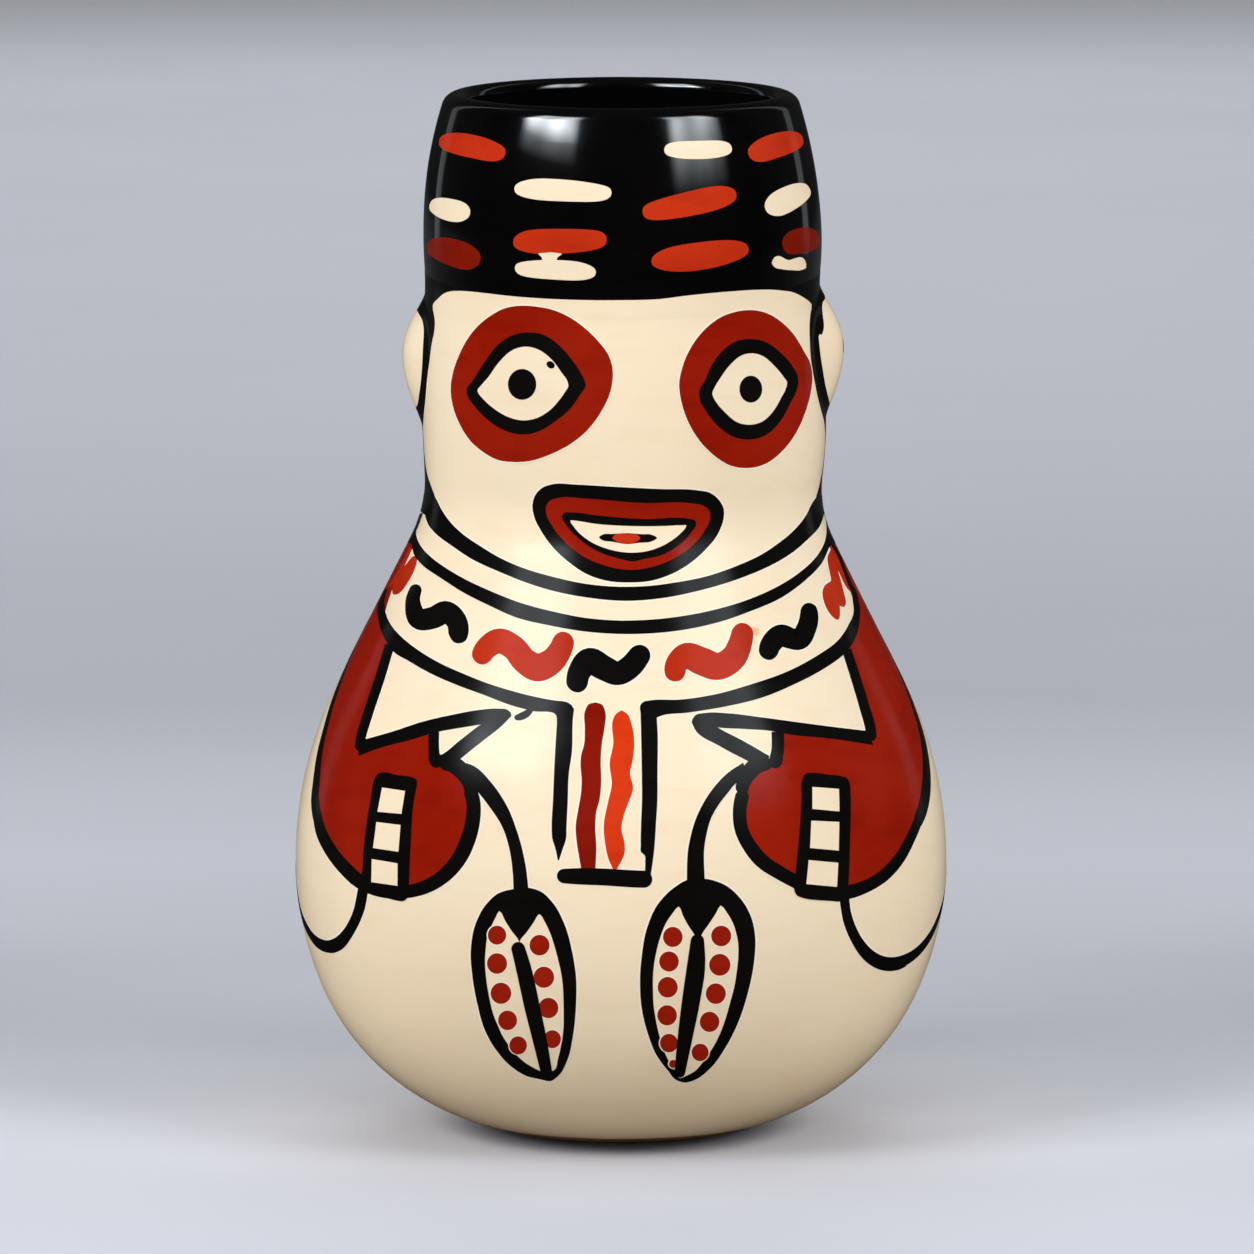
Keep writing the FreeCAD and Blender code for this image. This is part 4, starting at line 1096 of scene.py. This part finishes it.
CUFFS = [
    [(375, 779), (377, 775), (382, 772.8), (398, 775.2), (413, 777.6), (416.8, 779.5), (417, 783),
     (414.6, 797), (412.7, 811), (411.5, 829), (410.6, 849), (409.6, 868), (408.8, 887.6), (407.5, 898),
     (404, 900.8), (395, 900), (385, 897.5), (372, 894.5), (363, 889), (361.5, 884), (363, 868), (364, 849),
     (366, 832), (368, 816), (371, 800)],
    [(802.8, 778), (805, 774), (811.7, 772.8), (827, 774.6), (842, 776.6), (847, 778.6), (848.7, 781.7),
     (850.3, 796), (850.5, 811), (850, 830), (849.5, 849), (849, 867), (848, 885), (847, 896), (842, 900.5),
     (829, 900.8), (817, 900), (803, 898), (796.5, 895), (794, 889), (795.6, 872), (797.5, 853), (799, 836.5),
     (800.5, 817), (801.5, 798)],
]
PANES = [
    [(382.6, 787.6), (405.5, 791), (401.9, 814), (378, 811.8)],
    [(376.9, 822), (401, 825), (398.9, 851.8), (373.6, 848)],
    [(372.3, 859), (398, 863.3), (397.9, 885.8), (371.8, 882)],
    [(812, 787), (838.5, 789), (839, 811.5), (812, 809)],
    [(811, 820.7), (838.8, 822), (838.3, 850.6), (809.7, 848)],
    [(808.4, 860), (837.8, 862.8), (836.5, 886.8), (806, 884)],
]


def pane(corners, steps=9):
    """Grid of a four-sided patch: even steps between its corners both ways."""
    a, b, c, d = np.array(corners, float)
    u, v = np.meshgrid(np.linspace(0, 1, steps), np.linspace(0, 1, steps))
    u, v = u[..., None], v[..., None]
    spots = (a * (1 - u) + b * u) * (1 - v) + (d * (1 - u) + c * u) * v
    return from_photo(spots[..., 0], spots[..., 1])


laid_on("cuff_frames", patches(CUFFS, CUFF_LIFT, 12, 130), black_slip, "black_slip")
laid_on("cuff_panes", [strip_shell(pane(c), PANE_LIFT) for c in PANES], cream_mark_slip, "cream_slip")
HEM_SEEN = [
    edged([(369, 888), (364.5, 910), (354, 933.5), (342.5, 949), (331, 953), (326, 952)],
          [(359.5, 884), (352.7, 913), (343.8, 929.6), (333.6, 938.6), (324.6, 940), (322, 939)]),
    edged([(838.8, 896), (843.6, 923), (851, 941), (863, 959), (875.5, 968), (888, 971), (901, 968.7),
           (906, 966)],
          [(848.3, 893), (851, 913), (857.7, 931), (868, 946), (880.6, 955), (893.4, 957), (903, 954.8),
           (907, 953)]),
]
HEM_SIDES = [
    brushed_side([(-97, 60, 2.2), (-92, 55.5, 2.3), (-86, 50.5, 2.5)],
                 [(302, 915, 2.7), (307, 928, 2.8), (315.5, 940.5, 2.8), (328, 946.5, 2.6), (335, 946, 2.2)]),
    brushed_side([(97, 60, 2.2), (91, 54.5, 2.3), (85, 49.5, 2.5)],
                 [(939, 915.5, 2.7), (930.5, 935, 2.8), (917.5, 951.5, 2.8), (901, 961.5, 2.7),
                  (894, 963, 2.3)]),
]
BACK_LOOP = [
    (0, 60, 2.2), (8, 50, 2.3), (18, 41, 2.5), (27.67, 38, 2.6), (37.33, 41, 2.5), (47.33, 50, 2.3),
    (55.33, 60, 2.2),
]
BACK_LOOP_STARTS = (97.0, 152.33, 207.67)
back_loops = [
    brushed_side([(start + along, level, width) for along, level, width in BACK_LOOP])
    for start in BACK_LOOP_STARTS
]
hem_grids = [*HEM_SEEN, *HEM_SIDES, *back_loops]
laid_on("hem_lines", stepped(hem_grids, LINE_LIFT, 0.01, 3), black_slip, "black_slip")

# The pods: each hand holds a stalk with a long pod, black outside, split by a black rib into two
# cream cells with a row of red beans in each.
POD_LIFT, CELL_LIFT, BEAN_LIFT, RIB_LIFT = 0.07, 0.11, 0.15, 0.17
STALK_LIFT = LINE_LIFT + 0.03
BEAN_TALL = 1.03

STALKS = [
    edged([(458.6, 761), (474, 766), (491.7, 783), (507, 806), (517, 831), (525, 862), (529, 893)],
          [(454, 774), (474, 788), (489, 806), (502, 826), (509.6, 849), (512.7, 870), (514, 896)]),
    edged([(743, 762.6), (727.6, 773), (709.7, 793), (697, 816), (689, 844), (686.5, 888)],
          [(748, 778), (739, 781), (727.6, 793), (712, 816), (705, 841.6), (704.5, 886)]),
]
PODS = [
    [(527, 887.6), (540, 891), (553, 903), (564, 923), (572, 951), (576, 977), (576, 1005), (573, 1035.5),
     (567, 1061), (559, 1075), (550, 1081), (540, 1079), (527, 1076), (512, 1067), (497, 1051), (485, 1030),
     (477.7, 1005), (472.6, 977), (471, 949), (476, 923), (486.6, 904), (499, 893), (513.4, 889)],
    [(703.8, 878.6), (725, 885), (740, 898), (750.5, 915.6), (755, 936), (754, 961.5), (748, 992),
     (737.8, 1023), (725, 1048), (709.7, 1068.7), (694.4, 1080), (685.5, 1082.4), (676.5, 1080),
     (667.6, 1070), (657, 1056), (648.5, 1035.5), (642, 1010), (640, 982), (642, 954), (647, 928),
     (658.7, 903), (674, 887.6), (687, 880)],
]
CELLS = [
    [(499.4, 911), (496, 917), (491.7, 926), (487.5, 937), (486, 949), (485.2, 961), (486, 974), (487.8, 988),
     (490.5, 1002), (493.5, 1014), (498, 1025), (503, 1036), (509.6, 1046), (517, 1055), (525, 1062),
     (533, 1067), (541, 1071), (546, 1073), (549, 1060), (545, 1035), (538, 1010), (531, 985), (524, 960),
     (520, 945), (518, 939), (512.5, 932), (506, 922)],
    [(539.4, 914), (534, 922), (527, 932), (520, 941), (522, 955), (528, 980), (535, 1005), (542, 1030),
     (547, 1052), (551.5, 1071), (554, 1070), (558, 1058.5), (562, 1040.6), (563.5, 1028), (563.7, 1015),
     (563.5, 1000), (562.7, 984.5), (561, 972), (558, 959), (554.5, 946), (550.4, 933.5), (545.5, 923)],
    [(678.5, 906.5), (672, 914), (666, 923), (661, 935), (657, 949), (654.3, 963), (653, 977), (653, 991),
     (653.6, 1005), (655.7, 1019), (658.7, 1033), (661.5, 1043), (665, 1053), (669.5, 1062), (675, 1070),
     (681, 1060), (685, 1035), (689, 1005), (693, 975), (696, 950), (695, 936), (688.5, 926), (683, 916)],
    [(720.5, 905.5), (716, 913), (709.5, 923), (702, 934), (698, 945), (696, 965), (692, 995), (687, 1030),
     (683, 1058), (680, 1078), (687, 1075), (694.4, 1071), (701, 1064), (707, 1056), (714, 1045), (720, 1033),
     (725.5, 1018), (730, 1002), (734, 987), (736.5, 971.7), (738, 957), (738, 943.7), (736, 933),
     (732.7, 923), (727, 913)],
]
BEANS = [
    (497.3, 935, 9.2), (497.3, 963.3, 10), (501.2, 993, 10.3), (507.8, 1020, 9.5), (518.3, 1045, 8.8),
    (539.7, 945, 10), (544, 977, 10.3), (548.6, 1007.7, 9.9), (552.4, 1038.8, 8.7), (672.7, 936.8, 9.8),
    (668.9, 961.3, 9.8), (667.6, 987, 10), (667, 1015, 9.8), (668.9, 1042.7, 9), (721, 935.8, 10),
    (719.6, 964.6, 10.6), (715.6, 993.4, 10), (709.4, 1021.5, 9.8), (700, 1052, 8.5), (673, 1063.5, 4),
]
RIBS = [
    [(516.5, 942, 13), (523, 965, 15), (532, 1005, 15.5), (540, 1040, 14), (547.5, 1076, 11)],
    [(697.5, 934, 12), (696, 965, 18), (691, 1000, 18), (684.5, 1040, 14.5), (679, 1077, 10)],
]
bean_slip = slip("bean_slip", (0.30, 0.011, 0.003), (0.35, 0.015, 0.004), (0.20, 0.006, 0.002))
laid_on("stalks", [strip_shell(g, STALK_LIFT) for g in STALKS], black_slip, "black_slip")
laid_on("pods", patches(PODS, POD_LIFT, 14, 140), black_slip, "black_slip")
laid_on("pod_cells", patches(CELLS, CELL_LIFT, 12, 120), cream_mark_slip, "cream_slip")
beans = [filled(photo(dab(x, y, r, r * BEAN_TALL)), 5, 36) for x, y, r in BEANS]
laid_on("pod_beans", [round_shell(grid, BEAN_LIFT) for grid in beans], bean_slip, "bare_clay")
laid_on("pod_ribs", [strip_shell(brushed(p), RIB_LIFT) for p in RIBS], black_slip, "black_slip")

# The pale halos: along every stroke, and round the mouth, pods, eye patches and beans, a hair-line
# paler than the rest of the slip, a painted halo of light.
EDGE_REACH = 0.27
EDGE_LIFT = 0.02
EYE_EDGE_LIFT = 0.09
BEAN_EDGE_REACH, BEAN_EDGE_LIFT = 0.2, 0.13

# Pale cream for the painted halo of light round the strokes.
pale_slip = slip("pale_slip", (0.94, 0.875, 0.74), (0.95, 0.89, 0.77), (0.91, 0.82, 0.66))


def spread_out(grid, by=EDGE_REACH):
    """A strip's grid grown by a reach: its sides pushed out across it and its ends along it."""
    flat = grid * (ROUND_PLANE, 1.0)
    first, last = flat[:, 0], flat[:, -1]
    across = last - first
    across = across / np.hypot(*across.T)[:, None] * by
    along = np.gradient((first + last) / 2, axis=0)
    along = along / np.hypot(*along.T)[:, None] * by
    push = np.zeros(len(flat))
    push[[0, -1]] = -1, 1
    ends = along * push[:, None]
    first, last = first - across + ends, last + across + ends
    share = np.linspace(0, 1, grid.shape[1])[:, None]
    return (first[:, None] + (last - first)[:, None] * share) / (ROUND_PLANE, 1.0)


def ringed_out(grid, by=EDGE_REACH):
    """A round patch's grid grown by a reach, every ring in its share."""
    flat = grid * (ROUND_PLANE, 1.0)
    rim = flat[-1]
    way = np.roll(rim, -1, 0) - np.roll(rim, 1, 0)
    square = np.stack([way[:, 1], -way[:, 0]], 1) / np.hypot(*way.T)[:, None]
    turned = np.sign(((rim - flat[0]) * square).sum())
    share = np.linspace(0, 1, len(flat))[:, None, None]
    return (flat + square * turned * by * share) / (ROUND_PLANE, 1.0)


edge_strips = [*neck_grids, *red_grids, *black_grids, *sash_grids, *band_grids, *SLEEVE_LINES, *HAND_LINES,
               *hem_grids, *STALKS]
mouth_round = filled(photo(MOUTH_SHAPES[0][4]), 10, 110)
edge_rounds = [*red_dab_grids, mouth_round, *[filled(photo(pod), 14, 140) for pod in PODS]]
edge_shells = [strip_shell(spread_out(grid), EDGE_LIFT) for grid in edge_strips]
edge_shells += [round_shell(ringed_out(grid), EDGE_LIFT) for grid in edge_rounds]
edge_shells += [round_shell(ringed_out(filled(photo(p), 9, 96)), EYE_EDGE_LIFT) for p in EYE_PATCHES]
edge_shells += [round_shell(ringed_out(grid, BEAN_EDGE_REACH), BEAN_EDGE_LIFT) for grid in beans]
# One piece holds all of the painted halo of light.
laid_on("burnished_edges", edge_shells, pale_slip, "cream_slip")

# The studio: pale paper all round, two tall soft boxes in front to the left and right with a
# narrow one behind on either side, and broad lamps that light evenly without a glare of their own.
PAPER_SHADE, PAPER_LIT = (0.0, 0.0, 0.0), (1.0, 1.04, 1.16)
PAPER_FIBRE = (0.30, 0.31, 0.34)
PAPER_BOUNCE = (0.42, 0.39, 0.355)
PAPER_SHINE = (0.004, 0.004, 0.005), (0.07, 0.072, 0.08)
FLOOR_REACH, BEND, WALL_REACH = 3.2, 1.3, 4.5

paper = bpy.data.materials.new("paper")
paper.use_nodes = True
Knob.tree = paper.node_tree
paper_shader = paper.node_tree.nodes["Principled BSDF"]
spot = Knob.node("ShaderNodeTexCoord", output="Object")
back = Knob.node("ShaderNodeSeparateXYZ", output="Y", Vector=spot)
glossy = Knob.node("ShaderNodeLightPath", output="Is Glossy Ray")
diffuse = Knob.node("ShaderNodeLightPath", output="Is Diffuse Ray")
shade = Knob.node("ShaderNodeAttribute", {"attribute_name": "shade"}, output="Fac")
tone = blended(shade, PAPER_SHADE, PAPER_LIT)
tone = blended(risen(clouds(9.0, 5.0), 0.3, 0.7) * 0.04, tone, PAPER_FIBRE)
tone = blended(diffuse, tone, PAPER_BOUNCE)
tone = blended(glossy, tone, blended(risen(back, -0.1, 1.4), *PAPER_SHINE))
Knob.tree.links.new(tone.socket, paper_shader.inputs["Base Color"])
paper_shader.inputs["Roughness"].default_value = 0.95
paper_shader.inputs["Specular IOR Level"].default_value = 0.0

bend = np.linspace(0, np.pi / 2, 24)[1:]
floor_r = [np.linspace(0, 0.6, 40), np.linspace(0.63, FLOOR_REACH, 60), FLOOR_REACH + BEND * np.sin(bend)]
floor_r = np.concatenate([*floor_r, np.full(8, WALL_REACH)])
floor_z = np.concatenate([np.zeros(100), BEND - BEND * np.cos(bend), np.linspace(1.6, WALL_REACH, 8)])
turn = np.linspace(0, 2 * np.pi, 96, endpoint=False)
floor_x, floor_y = floor_r[:, None] * np.sin(turn), -floor_r[:, None] * np.cos(turn)
floor_points = np.stack(np.broadcast_arrays(floor_x, floor_y, floor_z[:, None]), -1)
numbers = np.arange(floor_r.size * 96).reshape(-1, 96)
numbers[0] = numbers[0, 0]
backdrop = mesh_piece("backdrop", floor_points.reshape(-1, 3), ring_cells(numbers, False), (paper,))
backdrop_points = np.empty(len(backdrop.data.vertices) * 3)
backdrop.data.vertices.foreach_get("co", backdrop_points)
backdrop_points = backdrop_points.reshape(-1, 3)
# The paper's tone by distance behind the jar is painted light and shade: darker in a band just behind the jar
# and again farther back, lighter in front of the jar and far away.
SHADE_BEHIND = (-0.13, -0.04, 0.005, 0.05, 0.10, 0.154, 0.208, 0.264, 0.352, 0.445, 0.616, 0.806, 1.02, 1.27,
                1.55, 1.87, 2.17, 2.42, 2.66)
SHADES = (0.615, 0.642, 0.660, 0.572, 0.537, 0.498, 0.483, 0.514, 0.551, 0.534, 0.459, 0.480, 0.531, 0.572,
          0.604, 0.656, 0.774, 0.970, 0.990)
behind = backdrop_points[:, 1]
shade_value = np.interp(behind, SHADE_BEHIND, SHADES)
backdrop.data.attributes.new("shade", "FLOAT", "POINT").data.foreach_set("value", shade_value)


def from_jar(azimuth, elevation, reach, level=0.115):
    """Point at a reach from the jar's middle, azimuth 0 at the camera and right above nought."""
    azimuth, elevation = np.radians(azimuth), np.radians(elevation)
    flat = reach * np.cos(elevation)
    return np.stack([flat * np.sin(azimuth), -flat * np.cos(azimuth), level + reach * np.sin(elevation)], -1)


def lamp(name, azimuth, elevation, reach, size, watts):
    """Broad lamp aimed at the jar's middle, with no glare of its own."""
    light = bpy.data.lights.new(name, "AREA")
    light.shape = "RECTANGLE"
    light.size = light.size_y = size
    light.energy = watts
    box = bpy.data.objects.new(name, light)
    bpy.context.scene.collection.objects.link(box)
    box.location = from_jar(azimuth, elevation, reach)
    box.rotation_euler = (np.pi / 2 - np.radians(elevation), 0.0, np.radians(azimuth))
    box.visible_glossy = False
    box.visible_camera = False


def soft_box(name, azimuths, elevations, glow):
    """Curved front of a soft box, seen only in the shine: its glow climbs from the first elevation
    by the stops (share of its height, strength), and fades at both its sides."""
    u, v = np.meshgrid(np.linspace(0, 1, 24), np.linspace(0, 1, 24))
    points = from_jar(azimuths[0] + (azimuths[1] - azimuths[0]) * u,
                      elevations[0] + (elevations[1] - elevations[0]) * v, 1.6)
    numbers = np.arange(576).reshape(24, 24)
    cells = np.stack([numbers[:-1, :-1], numbers[:-1, 1:], numbers[1:, 1:], numbers[1:, :-1]], -1)
    material = bpy.data.materials.new(name)
    material.use_nodes = True
    Knob.tree = material.node_tree
    material.node_tree.nodes.remove(material.node_tree.nodes["Principled BSDF"])
    box = mesh_piece(name, points.reshape(-1, 3), cells.reshape(-1, 4), (material,))
    level = np.interp(v, *zip(*glow)) * np.clip(np.minimum(u, 1 - u) / 0.14, 0, 1)
    level = level * np.clip(0.95 + 0.4 * np.sin(8 * u + 3 * v) * np.sin(6 * v - 5 * u + 1), 0.4, 1.2)
    box.data.attributes.new("glow", "FLOAT", "POINT").data.foreach_set("value", level.ravel())
    strength = Knob.node("ShaderNodeAttribute", {"attribute_name": "glow"}, output="Fac")
    light = Knob.node("ShaderNodeEmission", Color=(0.88, 0.95, 1.0, 1.0), Strength=strength)
    Knob.tree.links.new(light.socket, material.node_tree.nodes["Material Output"].inputs["Surface"])
    box.visible_camera = box.visible_diffuse = box.visible_shadow = box.visible_transmission = False


LEFT_GLOW = ((0, 0), (0.14, 1.8), (0.27, 22), (0.5, 11), (0.85, 6), (1, 0))
RIGHT_GLOW = ((0, 0), (0.11, 0.9), (0.24, 3), (0.38, 8.6), (0.57, 7.5), (0.85, 4.5), (1, 0))
EDGE_GLOW = ((0, 0.2), (0.3, 0.35), (0.8, 0.35), (1, 0))
soft_box("soft_box_left", (-68, -27), (19, 54), LEFT_GLOW)
soft_box("soft_box_right", (30, 68), (12, 54), RIGHT_GLOW)
soft_box("edge_light_left", (-139, -130), (-25, 70), EDGE_GLOW)
soft_box("edge_light_right", (128, 137), (-25, 70), EDGE_GLOW)
lamp("key_left", -50, 30, 2.2, 1.0, 26)
lamp("key_right", 52, 30, 2.2, 1.0, 22)
lamp("fill_front", 0, 20, 2.4, 1.6, 15)
lamp("side_left", -105, 18, 2.2, 1.2, 13)
lamp("side_right", 105, 18, 2.2, 1.2, 11)
lamp("fill_back", 180, 35, 2.4, 1.6, 15)
lamp("fill_over", 0, 85, 2.4, 2.4, 14)
world = bpy.data.worlds.new("studio")
bpy.context.scene.world = world
world.use_nodes = True
world.node_tree.nodes["Background"].inputs["Color"].default_value = (0.5, 0.52, 0.56, 1.0)
world.node_tree.nodes["Background"].inputs["Strength"].default_value = 0.04
bpy.context.scene.view_settings.view_transform = "Standard"
